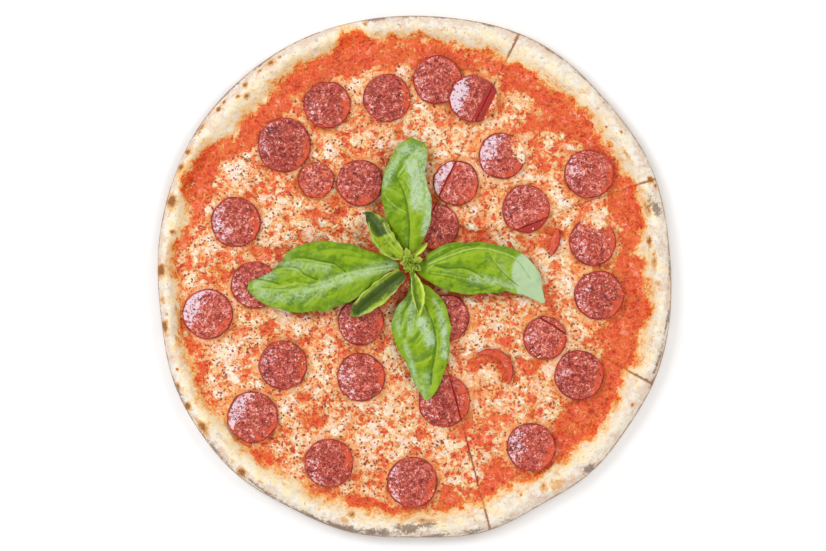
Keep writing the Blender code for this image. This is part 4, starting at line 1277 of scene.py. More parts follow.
@dataclass
class Pepperoni:
    """The pepperoni slices, whole and halved."""

    plan: Plan
    levels: Levels
    turns: int = 110
    rows: int = 26

    def side_line(self, item: Round, side: Side) -> Optional[tuple[Array, Array]]:
        """The stretch of the cut that bounds a half slice, drawn so that the half lies on its left."""
        if side is Side.WHOLE:
            return None
        cut = [place(p) for p in self.plan.cuts_px()[item.cut]]
        line = offset_line(cut, side.value * self.plan.cut_gap / 2)
        middle = item.middle
        stretches = list(zip(line, line[1:]))
        away = [float(line_distance(middle[0], middle[1], pair)) for pair in stretches]
        a, b = stretches[int(np.argmin(away))]
        return (a, b) if side is Side.LEFT else (b, a)

    def outline(self, item: Round, side: Side) -> tuple[Array, Array]:
        """The middle and border of a slice or half slice.

        The border in each direction is the nearer of the uneven round edge and the cut's line.
        """
        middle, radius = item.middle, item.radius
        bound = self.side_line(item, side)
        centre = middle
        if bound is not None:
            a, b = bound
            head = (b - a) / np.linalg.norm(b - a)
            inward = np.array((-head[1], head[0]))
            depth = float((middle - a) @ inward)
            centre = middle + inward * ((radius - depth) / 2 if depth < radius else 0.0)
        angle = np.linspace(0, TURN, self.turns, endpoint=False)
        ray = np.stack((np.cos(angle), np.sin(angle)), axis=1)
        off = centre - middle
        along = ray @ off
        guess = centre + ray * radius
        uneven = lattice_noise(guess[:, 0], guess[:, 1], 9 * MM, int(item.number) + 600)
        uneven = uneven + 0.5 * lattice_noise(guess[:, 0], guess[:, 1], 3.5 * MM, int(item.number) + 630)
        wobble = 0.980 + 0.030 * uneven
        reach = -along + np.sqrt(np.maximum(along ** 2 - off @ off + (radius * wobble) ** 2, 0))
        if bound is not None:
            depth = float((centre - a) @ inward)
            toward = -(ray @ inward)
            reach = np.where(toward > 1e-6, np.minimum(reach, depth / np.maximum(toward, 1e-6)), reach)
        return centre, centre + ray * reach[:, None]

    def lift(self, item: Round, x: Array, y: Array) -> Array:
        """How far a slice that lies on another is raised, tipping about its far side."""
        middle = item.middle
        lean = math.radians(item.lean_deg)
        along = (x - middle[0]) * math.cos(lean) + (y - middle[1]) * math.sin(lean)
        return item.rise_mm * MM * (0.5 + along / (item.wide_mm * MM))

    def top(self, item: Round, x: Array, y: Array, border: Array) -> Array:
        """A slice's upper height: a soft dome with ripples, its last millimetre rounded down.

        Args:
            item: the slice.
            x, y: places in metres.
            border: each place's distance in from the border.
        """
        middle, radius = item.middle, item.radius
        share = np.hypot(x - middle[0], y - middle[1]) / radius
        angle = np.arctan2(y - middle[1], x - middle[0])
        dome = item.dome_mm * MM * (1 - share ** 2)
        curl = 0.30 * MM * share ** 2 * np.cos(2 * angle + item.px[0] * 1.7)
        lean = 0.5 * MM * share * np.cos(angle - math.radians(item.lit_side_deg + 180))
        ripple = 0.18 * MM * fractal(x, y, 5 * MM, 3, int(item.number) + 200)
        grain = 0.07 * MM * fractal(x, y, 1.3 * MM, 2, int(item.number) + 300)
        rounding = 0.75 * MM * (1 - np.sqrt(np.clip(1 - (1 - np.clip(border / (1.0 * MM), 0, 1)) ** 2, 0, 1)))
        base = self.levels.slice_low + self.levels.slice_thick
        return base + dome + curl + lean + ripple + grain - rounding + self.lift(item, x, y)

    def height(self, x: Array, y: Array) -> Array:
        """The highest slice at each place, or far below where there is none."""
        best = np.full(np.shape(x), -1.0)
        for item in ROUNDS:
            middle = item.middle
            border = item.radius * 0.97 - np.hypot(x - middle[0], y - middle[1])
            here = self.top(item, x, y, np.maximum(border, 0))
            best = np.where(border > 0.4 * MM, np.maximum(best, here), best)
        return best

    def slice_mesh(self, item: Round, side: Side) -> MeshData:
        """A closed slice: rows from its middle to its border, above and below, sharing the border."""
        centre, rim = self.outline(item, side)
        share = np.sin(np.linspace(0, math.pi / 2, self.rows)) ** 0.9
        places = centre + share[None, :, None] * (rim[:, None, :] - centre)
        x, y = places[..., 0], places[..., 1]
        border = np.linalg.norm(rim - centre, axis=1)[:, None] * (1 - share[None, :])
        high = self.top(item, x, y, border)
        low = self.levels.slice_low + self.lift(item, x, y) + 0.2 * MM - 0.1 * MM * share + 0 * x
        low = np.minimum(low, high - 0.2 * MM)
        middle, radius = item.middle, item.radius
        # painted sheen: strongest on the side toward the light, broken by clouds and kept off the border
        toward = math.radians(item.lit_side_deg)
        lit = ((x - middle[0]) * math.cos(toward) + (y - middle[1]) * math.sin(toward)) / radius
        patchy = 0.25 * fractal(x, y, 7 * MM, 3, int(item.number) + 400)
        painted_sheen = item.painted_sheen * smooth(lit + patchy, -0.05, 0.75)
        painted_sheen = painted_sheen * smooth(border, 0.2 * MM, 1.4 * MM)
        cut_side_shade, veil = np.zeros(x.shape), item.veil + 0 * x
        if side is not Side.WHOLE:
            a, b = self.side_line(item, side)
            # the dark band along the cut: the cut side and painted shade beside it
            off = line_distance(x, y, [a, b])
            width = item.cut_side_shade_mm[0 if side is Side.LEFT else 1] * MM
            cut_side_shade = smooth(width - off, -0.3 * MM, 0.3 * MM)
            if side is Side.RIGHT:
                veil = veil + item.right_veil
                painted_sheen = painted_sheen * 0.4
        veil = veil + 0.9 * item.cover(x, y)
        # the painted glow lies on the side away from the light
        ray = math.radians(item.lit_side_deg + 170)
        away = ((x - middle[0]) * math.cos(ray) + (y - middle[1]) * math.sin(ray)) / radius
        values = {"border": smooth(1.7 * MM - border, 0, 1.7 * MM), "painted_sheen": painted_sheen, "veil": veil,
                  "cut_side_shade": cut_side_shade, "tone": item.tone + 0 * x, "painted_glow": smooth(away, 0.35, 1.0)}
        return ring_body(np.dstack((places, high)), np.dstack((places, low)), values)

    def build(self, material: Material) -> None:
        """Every slice, with two halves where a cut crosses it, and the two covered ones."""
        for item in ROUNDS:
            sides = (Side.LEFT, Side.RIGHT) if item.cut else (Side.WHOLE,)
            for side in sides:
                ending = "" if side is Side.WHOLE else f"_{side.name.lower()}"
                add_piece(f"slice_{item.number}{ending}", self.slice_mesh(item, side), material, Slot.MEAT,
                          f"pepperoni_{item.number}{ending}")
        strips = (("13", (536, 237), 14.2, -52.0, 22.0, 5.6), ("27", (491, 371), 13.0, -38.0, 128.0, 5.0))
        for number, *form in strips:
            data = self.strip_mesh(number, *form)
            add_piece(f"slice_{number}", data, material, Slot.MEAT, f"pepperoni_{number}")

    def strip_mesh(self, number: str, px: tuple[float, float], radius_mm: float, start: float, end: float,
                   wide_mm: float) -> MeshData:
        """The bent strip that shows of a covered slice: a rounded section carried along an arc.

        The section is an ellipse whose width swells and narrows along the arc as a sine.
        """
        count, around = 90, 20
        share = np.linspace(0, 1, count)
        angle = np.radians(start + (end - start) * share)
        width = wide_mm * MM * (0.25 + 0.75 * np.sin(np.pi * share) ** 0.7)
        turn = np.linspace(0, TURN, around, endpoint=False)
        middle = place(px)
        radius = radius_mm * MM - width[:, None] * (0.5 - 0.5 * np.cos(turn))[None, :]
        x = middle[0] + radius * np.cos(angle)[:, None]
        y = middle[1] + radius * np.sin(angle)[:, None]
        z = self.levels.slice_low + self.levels.slice_thick * (0.5 + 0.5 * np.sin(turn))[None, :]
        z = z + 0.12 * MM * fractal(x, y, 3 * MM, 3, int(number) + 500)
        points = np.dstack((x, y, z)).reshape(-1, 3)
        ids = np.arange(count * around).reshape(count, around)
        after = np.roll(ids, -1, axis=1)
        quads = np.stack((ids[:-1], ids[1:], after[1:], after[:-1]), axis=-1).reshape(-1, 4)
        caps = np.stack((ids[0], ids[-1][::-1]))
        inward = (0.5 - 0.5 * np.cos(turn))[None, :] * np.ones((count, 1))
        zero = 0 * inward.ravel()
        # the covered strips carry the painted glow all along
        values = {"border": smooth(0.35 - inward, 0, 0.35).ravel(), "painted_sheen": zero, "veil": zero + 0.15,
                  "cut_side_shade": zero, "tone": zero, "painted_glow": zero + 0.85}
        return MeshData(points, [quads, caps], values)


def ring_body(top: Array, low: Array, values: dict[str, Array]) -> MeshData:
    """A closed body from two polar grids that go all the way round and have a pole in their middle.

    Args:
        top: the upper grid, of shape (turns, rows, 3), its first row position the pole.
        low: the lower grid, of the same shape.
        values: point values on the upper grid, which the lower grid repeats.
    """
    turns, rows = top.shape[:2]
    inner = rows - 1
    points, fitted = polar_points(top, low, values)
    count = turns * inner
    ids = np.arange(count).reshape(turns, inner)
    after = np.roll(ids, -1, axis=0)
    quad = np.stack((ids[:, :-1], ids[:, 1:], after[:, 1:], after[:, :-1]), axis=-1).reshape(-1, 4)
    edge = np.stack((ids[:, -1], ids[:, -1] + count, after[:, -1] + count, after[:, -1]), axis=-1)
    fan_top = np.stack((np.full(turns, 2 * count), ids[:, 0], after[:, 0]), axis=-1)
    fan_low = np.stack((np.full(turns, 2 * count + 1), after[:, 0] + count, ids[:, 0] + count), axis=-1)
    quads = np.concatenate((quad, quad[:, ::-1] + count, edge))
    return MeshData(points, [quads, np.concatenate((fan_top, fan_low))], fitted)


@dataclass(frozen=True)
class Stroke:
    """A line drawn on a leaf: photo places along it, its half width in photo pixels and its strength.

    A higher power gives it a flatter middle and a crisper border.
    """

    line: tuple[tuple[float, float], ...]
    wide_px: float
    strength: float = 1.0
    power: float = 2.0

    def value(self, x: Array, y: Array) -> Array:
        """strength * exp(-(distance to the smooth line / half width)^power)."""
        points = through([place(p) for p in self.line], np.linspace(0, 1, 6 * len(self.line)))
        gone = line_distance(x, y, list(points)) / (self.wide_px * PX)
        return self.strength * np.exp(-gone ** self.power)


def drawn(*rows: tuple[float, ...], power: float = 2.0) -> tuple[Stroke, ...]:
    """Strokes, each a row of its half width, its strength, and the x and y of its photo places in turn."""
    return tuple(Stroke(tuple(zip(row[2::2], row[3::2])), row[0], row[1], power) for row in rows)


def strokes(x: Array, y: Array, lines: Sequence[Stroke]) -> Array:
    """The strongest of several strokes at each place."""
    best = np.zeros(np.shape(x))
    for stroke in lines:
        best = np.maximum(best, stroke.value(x, y))
    return best


@dataclass(frozen=True)
class LeafShape:
    """A basil leaf: its middle line as photo places and heights in mm, and its half widths in mm.

    creases are its folds, painted dark as shade, ribs its pale raised veins, gloss its painted highlights and
    shade its painted shade.
    """

    node: str
    slot: Slot
    droop_mm: float
    line: tuple[tuple[float, float, float], ...]
    half_mm: tuple[float, ...]
    creases: tuple[Stroke, ...] = ()
    ribs: tuple[Stroke, ...] = ()
    gloss: tuple[Stroke, ...] = ()
    shade: tuple[Stroke, ...] = ()
    edge_pale: float = 0.0


LEAVES: tuple[LeafShape, ...] = (
    LeafShape("basil_leaf_top", Slot.LEAF, droop_mm=4.0,
        line=((409.5, 254.9, 15.5), (410.5, 240, 17.6), (409.3, 222, 19.4), (407.5, 204, 20.4),
            (404.5, 186, 20.7), (407.5, 166, 19.4), (413.5, 151, 16.0), (417.8, 140.5, 12.4)),
        half_mm=(1.2, 7.6, 12.4, 13.9, 13.3, 10.8, 8.9, 4.6),
        creases=drawn((0.9, 1, 408.5, 251, 409.4, 222, 405, 197, 397, 178),
            (0.6, 0.6, 405, 197, 396, 191, 389, 188), (0.6, 0.5, 408, 212, 415, 205, 417, 198),
            (0.6, 0.5, 404, 194, 407, 186, 405, 180), (0.6, 0.35, 409, 230, 400, 222, 394, 214),
            (0.7, 0.4, 396, 171, 394, 162, 396, 156), (0.8, 0.4, 384, 188, 392, 187, 400, 188)),
        ribs=drawn((0.9, 0.8, 384, 193, 389, 201, 397, 208, 406, 213),
            (1.0, 1, 398, 177, 403, 170, 411, 158, 418, 151, 423, 149, 428, 151),
            (1.0, 0.7, 404, 178, 411, 190, 416, 200, 419, 210), (0.7, 0.35, 402, 245, 395, 234, 390, 220),
            (0.8, 0.6, 423, 185, 423, 200, 417, 212), (0.7, 0.4, 408, 244, 411, 225, 411, 212)),
        gloss=drawn((7.5, 1.15, 412, 164, 416, 182, 418, 204), (4.0, 1.0, 427, 190, 428.5, 212, 424, 234),
            (5.5, 0.62, 399, 157, 391, 170, 385, 184), (9.0, 0.72, 404, 150, 414, 152, 424, 158, 423, 180)),
        shade=drawn((8.0, 0.42, 403, 240, 396, 222, 392, 200))),
    LeafShape("basil_leaf_left", Slot.LEAF, droop_mm=4.2,
        line=((399.5, 265.6, 15.5), (383, 265, 17.0), (364, 269, 18.5), (346, 271.8, 19.2),
            (328, 274.8, 19.2), (310, 278.5, 18.0), (291.2, 286.0, 16.0), (274.8, 289.0, 14.0),
            (261, 288.3, 12.6), (248.5, 285.5, 11.8)),
        half_mm=(1.2, 6.0, 12.8, 17.2, 19.6, 20.0, 15.9, 11.0, 7.2, 2.2),
        creases=drawn((1.0, 1, 346, 272, 335, 264, 320, 261, 306, 258, 296, 258),
            (1.0, 1, 318, 280, 306, 275, 298, 268, 284, 267, 276, 268),
            (0.9, 0.9, 282, 285, 268, 281, 258, 279), (0.7, 0.35, 389, 265, 376, 261, 362, 258, 345, 256),
            (0.8, 0.5, 372, 262, 356, 252, 340, 249, 322, 250), (0.7, 0.5, 300, 287, 284, 289, 262, 287),
            (0.7, 0.4, 352, 276, 335, 281, 318, 287, 302, 288)),
        ribs=drawn((0.9, 1, 394, 266, 368, 270, 346, 274.5, 328, 281, 312, 285.5),
            (0.8, 0.7, 340, 266, 322, 263, 306, 260, 296, 260), (0.8, 0.7, 306, 277, 296, 270, 282, 269),
            (0.8, 0.8, 318, 294, 312, 300, 305, 306), (0.8, 0.8, 284, 294, 279, 299, 274, 303),
            (0.8, 0.6, 312, 285.5, 296, 284, 278, 288, 254, 284)),
        gloss=drawn((7.5, 0.62, 392, 266, 366, 272, 344, 279, 322, 286),
            (9.0, 0.55, 322, 289, 300, 294, 280, 297, 258, 293), (6.5, 0.50, 328, 269, 300, 266, 286, 264),
            (6.0, 0.55, 272, 275, 262, 281, 255, 286)),
        shade=drawn((5.0, 0.35, 386, 262, 368, 254, 350, 248),
            (3.0, 0.45, 370, 282, 350, 294, 326, 304, 300, 309))),
    LeafShape("basil_leaf_right", Slot.LEAF, droop_mm=3.2,
        line=((418.3, 265.5, 15.5), (424, 268, 16.4), (434, 267.8, 17.8), (448, 267.2, 19.0),
            (464, 268.2, 19.5), (481, 268.2, 19.3), (499, 269.2, 17.8), (513.5, 272.6, 15.6),
            (526.8, 282.3, 13.6), (535.4, 292, 12.4), (543.8, 302.8, 11.7)),
        half_mm=(2.4, 5.6, 10.2, 13.6, 14.9, 14.8, 13.8, 12.0, 9.2, 4.8, 0.7),
        creases=drawn((0.9, 0.8, 428, 262, 440, 256, 452, 250, 466, 246, 480, 245),
            (0.9, 0.9, 436, 266, 447, 268.5, 462, 268, 474, 272, 483, 278),
            (0.8, 0.45, 430, 275, 446, 277, 462, 282, 478, 288), (0.6, 0.4, 432, 272, 448, 274, 466, 278),
            (0.8, 0.7, 488, 253, 495, 264, 505, 275, 518, 286),
            (0.7, 0.6, 512, 258, 519, 263, 525, 271, 530, 279), (0.7, 0.4, 430, 254, 440, 249, 452, 246),
            (0.7, 0.4, 500, 284, 488, 289, 474, 291)),
        ribs=drawn(
            (0.9, 1.0, 428, 264.5, 439, 260, 452, 255, 465, 250.5, 477, 248.4,
             489, 249.3, 501, 253, 512, 257, 521, 264),
            (0.7, 0.7, 490.5, 253, 496, 263, 506, 274, 521, 287, 534, 297),
            (0.9, 0.8, 473, 275, 484, 279, 497, 283, 513, 289), (0.7, 0.5, 427, 260, 436, 253, 446, 248),
            (0.7, 0.4, 432, 268, 448, 272, 464, 276)),
        gloss=drawn((5.5, 0.60, 472, 278, 492, 281, 512, 286), (5.0, 0.25, 460, 274, 446, 273),
            (5.0, 0.35, 500, 262, 506, 276))
        + drawn((20.5, 1.7, 532, 272, 535, 282, 543, 302), power=12),
        shade=drawn((3.5, 0.5, 446, 270, 462, 274, 476, 284, 490, 290),
            (2.4, 0.4, 470, 246, 486, 246, 500, 250), (3.0, 0.4, 424, 262, 424, 274))),
    LeafShape("basil_leaf_bottom", Slot.LEAF, droop_mm=2.6,
        line=((411.5, 268.9, 13.6), (414.5, 283, 14.6), (418.5, 293.5, 15.6), (420.5, 304, 16.2),
            (420.8, 318, 16.6), (422, 333, 16.4), (425.3, 349, 15.4), (427, 364, 14.0), (427.2, 379, 12.6),
            (427.4, 391, 11.9), (426, 400, 11.5)),
        half_mm=(1.2, 2.8, 8.4, 13.4, 16.4, 16.8, 14.4, 11.6, 8.4, 5.0, 0.8),
        creases=drawn((1.0, 1, 424, 303, 430, 316, 434.5, 329, 436, 341, 435, 355, 432.5, 369, 431, 384),
            (0.7, 0.5, 434, 328, 424, 336, 416, 344), (0.8, 0.6, 435, 352, 424, 360, 416, 362),
            (0.7, 0.35, 412, 300, 405, 312, 401, 326), (0.7, 0.35, 419, 310, 410, 322, 405, 338),
            (0.7, 0.4, 433, 340, 441, 330, 446, 320), (0.7, 0.4, 429, 314, 437, 306, 441, 303),
            (0.7, 0.5, 437, 356, 444, 350)),
        ribs=drawn((0.8, 0.8, 416, 342, 423, 333, 430, 325), (0.8, 0.6, 416, 300, 415, 316, 413, 330),
            (0.8, 0.5, 424, 297, 434, 302, 442, 312, 446, 326), (0.7, 0.6, 437, 330, 438, 345, 437, 358),
            (0.6, 0.5, 433, 345, 431, 360), (0.7, 0.4, 404, 300, 399, 312, 398, 326)),
        gloss=drawn((6.0, 0.95, 421, 321, 426, 330, 430, 342), (5.0, 0.62, 414, 300, 411, 316, 411, 332),
            (4.2, 0.78, 440, 314, 444, 330, 444, 356), (4.5, 0.50, 402, 302, 398, 316, 399, 334),
            (3.6, 0.55, 405, 342, 412, 366, 418, 386), (9.0, 0.50, 421, 402, 422, 388, 426, 378),
            (3.0, 0.6, 434, 300, 441, 310)),
        shade=drawn((3.5, 0.35, 430, 366, 428, 382, 427, 394), (3.0, 0.6, 413, 284, 418, 296))),
    LeafShape("basil_small_top_left", Slot.DARK_LEAF, droop_mm=-1.6,
        line=((402.5, 255.6, 19.2), (398, 253.5, 19.4), (389, 246, 19.0), (382, 236, 17.8),
            (377.5, 226, 15.6), (370.5, 217, 13.6), (365.5, 212.2, 12.6)),
        half_mm=(2.4, 4.2, 5.9, 6.3, 5.5, 3.3, 0.5),
        creases=drawn((0.7, 0.6, 370, 217, 377, 226, 384, 238, 395, 251), (0.8, 0.5, 376, 240, 386, 250),
            (0.7, 0.5, 384, 227, 388, 236, 396, 246)),
        ribs=drawn((0.9, 0.9, 384.5, 224, 387, 231, 394, 240, 402, 249),
            (0.7, 0.8, 369, 222, 371, 232, 376, 243, 386, 255, 395, 260.5),
            (0.7, 0.7, 386, 240, 396, 250, 403, 256)),
        shade=drawn((6.5, 1.0, 368, 215, 374, 223, 379, 231), power=5)
        + drawn((3.0, 0.5, 388, 252, 395, 257)),
        edge_pale=0.5),
    LeafShape("basil_small_bottom_left", Slot.DARK_LEAF, droop_mm=-1.8,
        line=((402.2, 272.6, 20.2), (398, 276.5, 20.6), (388.5, 284.5, 20.4), (377.5, 294.5, 18.6),
            (364.5, 304.5, 15.2), (356, 311.5, 13.2), (350.8, 315.2, 12.5)),
        half_mm=(3.4, 4.4, 5.6, 6.2, 5.4, 3.4, 0.6),
        creases=drawn((0.9, 0.6, 404, 275, 390, 285, 376, 296, 360, 309)),
        ribs=drawn((1.2, 0.9, 407, 281, 399, 289.5, 388, 299, 374, 308.5, 361, 314),
            (1.0, 0.9, 395, 269, 383, 278, 374, 284, 363, 293.5, 356, 304)),
        shade=drawn((6.4, 1.0, 402, 275, 388, 285, 374, 296, 358, 309), power=5),
        edge_pale=0.6),
    LeafShape("basil_small_bottom", Slot.YOUNG_LEAF, droop_mm=-0.7,
        line=((413.4, 273.6, 20.6), (415.6, 281, 21.0), (417.6, 290, 21.1), (418.9, 299, 20.4),
            (419.6, 308, 19.2), (419.2, 316, 18.0)),
        half_mm=(1.0, 2.6, 3.7, 3.5, 2.2, 0.4),
        creases=drawn((0.8, 0.8, 414, 276, 415, 290, 417, 303, 419, 313)),
        ribs=drawn((1.1, 0.9, 416, 275, 421, 283, 423.6, 292, 423, 303, 420.5, 312),
            (0.7, 0.7, 411.6, 278, 411.6, 288, 414, 300, 417.5, 312)),
        shade=drawn((3.4, 0.9, 414, 280, 416, 294, 419, 308)),
        edge_pale=0.3),
    LeafShape("basil_tiny_top_right", Slot.YOUNG_LEAF, droop_mm=-0.3,
        line=((415.4, 255.2, 21.2), (418.5, 252, 21.8), (421.4, 249, 21.6), (424.4, 246, 21),
            (427, 243.2, 20.4)),
        half_mm=(0.9, 1.5, 1.7, 1.3, 0.3),
        creases=drawn((0.6, 0.5, 416, 254, 421, 249, 426, 244.5))),
)


def through(values: Sequence[Sequence[float]], share: Array) -> Array:
    """A smooth curve through evenly spaced stations (Catmull-Rom).

    Args:
        values: the stations.
        share: how far along, from 0 to 1.

    Returns:
        One row for each share.
    """
    stations = np.asarray(values, float)
    padded = np.vstack((2 * stations[0] - stations[1], stations, 2 * stations[-1] - stations[-2]))
    at = share * (len(stations) - 1)
    index = np.clip(at.astype(int), 0, len(stations) - 2)
    t = (at - index)[:, None]
    a, b, c, d = (padded[index + k] for k in range(4))
    bend = (2 * a - 5 * b + 4 * c - d) * t ** 2 + (3 * b - 3 * c + d - a) * t ** 3
    return 0.5 * (2 * b + (c - a) * t + bend)


@dataclass
class BasilSprig:
    """The sprig: four large leaves, four small ones and the bud."""

    thick: float = 0.5 * MM
    bract_thick: float = 0.22 * MM
    leaf_limit: float = 24.0 * MM
    bud_limit: float = 24.3 * MM
    large_grid: tuple[int, int] = (150, 79)
    small_grid: tuple[int, int] = (56, 29)
    bract_grid: tuple[int, int] = (10, 7)
    stem_sides: int = 28
    bud_px: tuple[float, float] = (410.5, 262.5)
    seed: int = 5

    def leaf_mesh(self, shape: LeafShape) -> MeshData:
        """A thin closed leaf over a grid of shares along and across it.

        Height is the middle line's, less droop * across^2, plus the quilted relief and wide soft waves.
        """
        large = max(shape.half_mm) > 8
        rows, columns = self.large_grid if large else self.small_grid
        share = np.linspace(0, 1, rows)
        middle = through([(*place(p[:2]), p[2] * MM) for p in shape.line], share)
        half = np.maximum(through([[h * MM] for h in shape.half_mm], share)[:, 0], 0.3 * MM)
        head = np.gradient(middle[:, :2], axis=0)
        head = head / np.linalg.norm(head, axis=1)[:, None]
        left = np.stack((-head[:, 1], head[:, 0]), axis=1)
        across = np.linspace(-1, 1, columns)
        ripple = np.sin(share[:, None] * 37 + across[None, :] * 2) * np.abs(across)[None, :] ** 3
        ruffle = 1 + (0.020 if large else 0.05) * ripple
        flat = middle[:, None, :2] + left[:, None, :] * (half[:, None] * across * ruffle)[:, :, None]
        x, y = flat[..., 0], flat[..., 1]
        wide = (half / half.max())[:, None]
        reach = np.abs(across)[None, :]
        size = 1.0 if large else 0.4
        soft = fractal(x, y, 14 * MM * size, 2, self.seed + len(shape.node))
        waves = 0.75 * MM * size * soft * reach ** 0.5 * wide
        droop = shape.droop_mm * MM * reach ** 2 * wide
        height = middle[:, 2:] - droop + waves + size * self.quilt(shape, x, y)
        height = np.minimum(height, self.leaf_limit)
        top = np.dstack((flat, height))
        low = top - np.array((0, 0, self.thick))
        edge = smooth(reach, 0.80, 1.0) * np.ones_like(x)
        step = 0.45 * MM
        lit = self.quilt(shape, x + step, y - step) - self.quilt(shape, x - step, y + step)
        # slope: painted light and shade from the relief's tilt toward the upper left; gloss: painted
        # highlights; shade and crease: painted shade, also along the edges of leaves without a pale border
        values = {
            "vein": np.clip(strokes(x, y, shape.ribs) + shape.edge_pale * edge, 0, 1),
            "crease_shade": np.clip(strokes(x, y, shape.creases), 0, 1),
            "gloss": strokes(x, y, shape.gloss),
            "shade": np.clip(strokes(x, y, shape.shade) + 0.25 * edge * (shape.edge_pale == 0), 0, 1),
            "painted_light_and_tone": np.tanh(lit / (0.22 * MM)),
        }
        return sheet_body(top, low, values)

    def bud_mesh(self) -> MeshData:
        """The bud: a stem, a core and whorls of small pointed bracts, each a cupped closed leaf.

        Each whorl gives its height, how far out it starts, its number of bracts, their length and their lean.
        """
        draw = np.random.default_rng(self.seed)
        centre = place(self.bud_px)
        parts = [self.stem_mesh(centre)]
        whorls = ((16.6, 2.2, 8, 6.4, 16), (18.0, 1.7, 8, 5.4, 28), (19.2, 1.2, 7, 4.6, 40),
                  (20.3, 0.7, 6, 3.6, 52), (21.2, 0.2, 5, 2.8, 68))
        for height, out, count, length, lift_deg in whorls:
            for k in range(count):
                heading = TURN * (k + draw.uniform(-0.3, 0.3)) / count + height
                shift = centre + draw.uniform(-0.8, 0.8, 2) * MM
                long = length * draw.uniform(0.75, 1.15) * MM
                lift = math.radians(lift_deg + draw.uniform(-12, 12))
                parts.append(self.bract_mesh(shift, height * MM, out * MM, heading, long, lift))
        return join(parts)

    def stem_mesh(self, centre: Array) -> MeshData:
        """The short stem and the bud's round core, a profile turned about the bud's axis."""
        profile = np.array(((0.0, 7.6), (2.1, 7.6), (2.3, 10), (2.2, 13), (2.6, 15.2), (3.0, 17), (3.0, 18.6),
                            (2.4, 20.2), (1.4, 21.2), (0.0, 21.6))) * MM
        sides = self.stem_sides
        turn = np.linspace(0, TURN, sides, endpoint=False)
        radius, height = profile[:, 0][None, :], profile[:, 1][None, :]
        points = np.dstack((centre[0] + radius * np.cos(turn)[:, None],
                            centre[1] + radius * np.sin(turn)[:, None],
                            np.broadcast_to(height, (sides, len(profile)))))
        ids = np.arange(sides * len(profile)).reshape(sides, -1)
        after = np.roll(ids, -1, axis=0)
        quads = np.stack((ids[:, 1:-2], after[:, 1:-2], after[:, 2:-1], ids[:, 2:-1]), axis=-1).reshape(-1, 4)
        flat = points.reshape(-1, 3)
        low_pole, top_pole = ids[0, 0], ids[0, -1]
        tris = np.concatenate((np.stack((np.full(sides, low_pole), after[:, 1], ids[:, 1]), axis=-1),
                               np.stack((np.full(sides, top_pole), ids[:, -2], after[:, -2]), axis=-1)))
        zero = np.zeros(len(flat))
        # the stem and core carry an even painted shade
        values = {"vein": zero, "crease_shade": zero, "gloss": zero, "shade": zero + 0.30, "painted_light_and_tone": zero}
        return MeshData(flat, [quads, tris], values)

    def bract_mesh(self, centre: Array, height: float, out: float, heading: float, length: float,
                   lift: float) -> MeshData:
        """One small pointed bract: bright along its edges and tip, with painted shade at its foot and along
        its middle, and a tone of its own.
        """
        rows, columns = self.bract_grid
        share, across = np.linspace(0, 1, rows)[:, None], np.linspace(-1, 1, columns)[None, :]
        half = 0.27 * length * np.sin(np.pi * np.clip(share, 0.03, 0.985) ** 0.75)
        forward = out + length * share * math.cos(lift) * (1 - 0.15 * share)
        rise = length * share * math.sin(lift) + 0.15 * length * share ** 2 + 0.55 * half * across ** 2
        side = half * across
        ahead = np.array((math.cos(heading), math.sin(heading)))
        aside = np.array((-math.sin(heading), math.cos(heading)))
        x = centre[0] + forward * ahead[0] + side * aside[0]
        y = centre[1] + forward * ahead[1] + side * aside[1]
        z = np.minimum(height + rise, self.bud_limit) + 0 * x
        top = np.dstack((x + 0 * z, y + 0 * z, z))
        low = top - np.array((0, 0, self.bract_thick))
        edge = np.abs(across) ** 2 + 0 * share
        base = smooth(0.35 - share, 0, 0.35) + 0 * edge
        tone = 0.5 + 0.5 * math.sin(9 * heading + 700 * out)
        # shade paints shade at the foot, and crease paints it along the middle; tone, one value for each
        # bract, sets how light it is
        values = {"vein": np.clip(0.95 * edge + 0.4 * share ** 2, 0, 1),
                  "crease_shade": 0.9 * np.exp(-(across / 0.2) ** 2) * (1 - share), "gloss": 0 * edge,
                  "shade": np.clip(base + 0.45 * tone, 0, 1), "painted_light_and_tone": 0.9 - tone + 0 * edge}
        return sheet_body(top, low, values)

    def build(self, finishes: dict[Slot, Material]) -> None:
        """Every leaf and the bud."""
        for shape in LEAVES:
            add_piece(shape.node.replace("basil", "sprig"), self.leaf_mesh(shape), finishes[shape.slot],
                      shape.slot, shape.node)
        add_piece("sprig_bud", self.bud_mesh(), finishes[Slot.YOUNG_LEAF], Slot.YOUNG_LEAF, "basil_bud")

    def quilt(self, shape: LeafShape, x: Array, y: Array) -> Array:
        """A leaf's relief: wide valleys along creases and ribs, a sharp one in each crease, and bulges."""
        creases, ribs = strokes(x, y, shape.creases), strokes(x, y, shape.ribs)
        folds = shape.creases + shape.ribs
        valleys = strokes(x, y, [Stroke(s.line, 5.0 * s.wide_px, s.strength) for s in folds])
        bulges = 0.35 * MM * fractal(x, y, 6 * MM, 3, self.seed + 40 + len(shape.node))
        return bulges - 0.75 * MM * valleys - 0.35 * MM * creases + 0.30 * MM * ribs


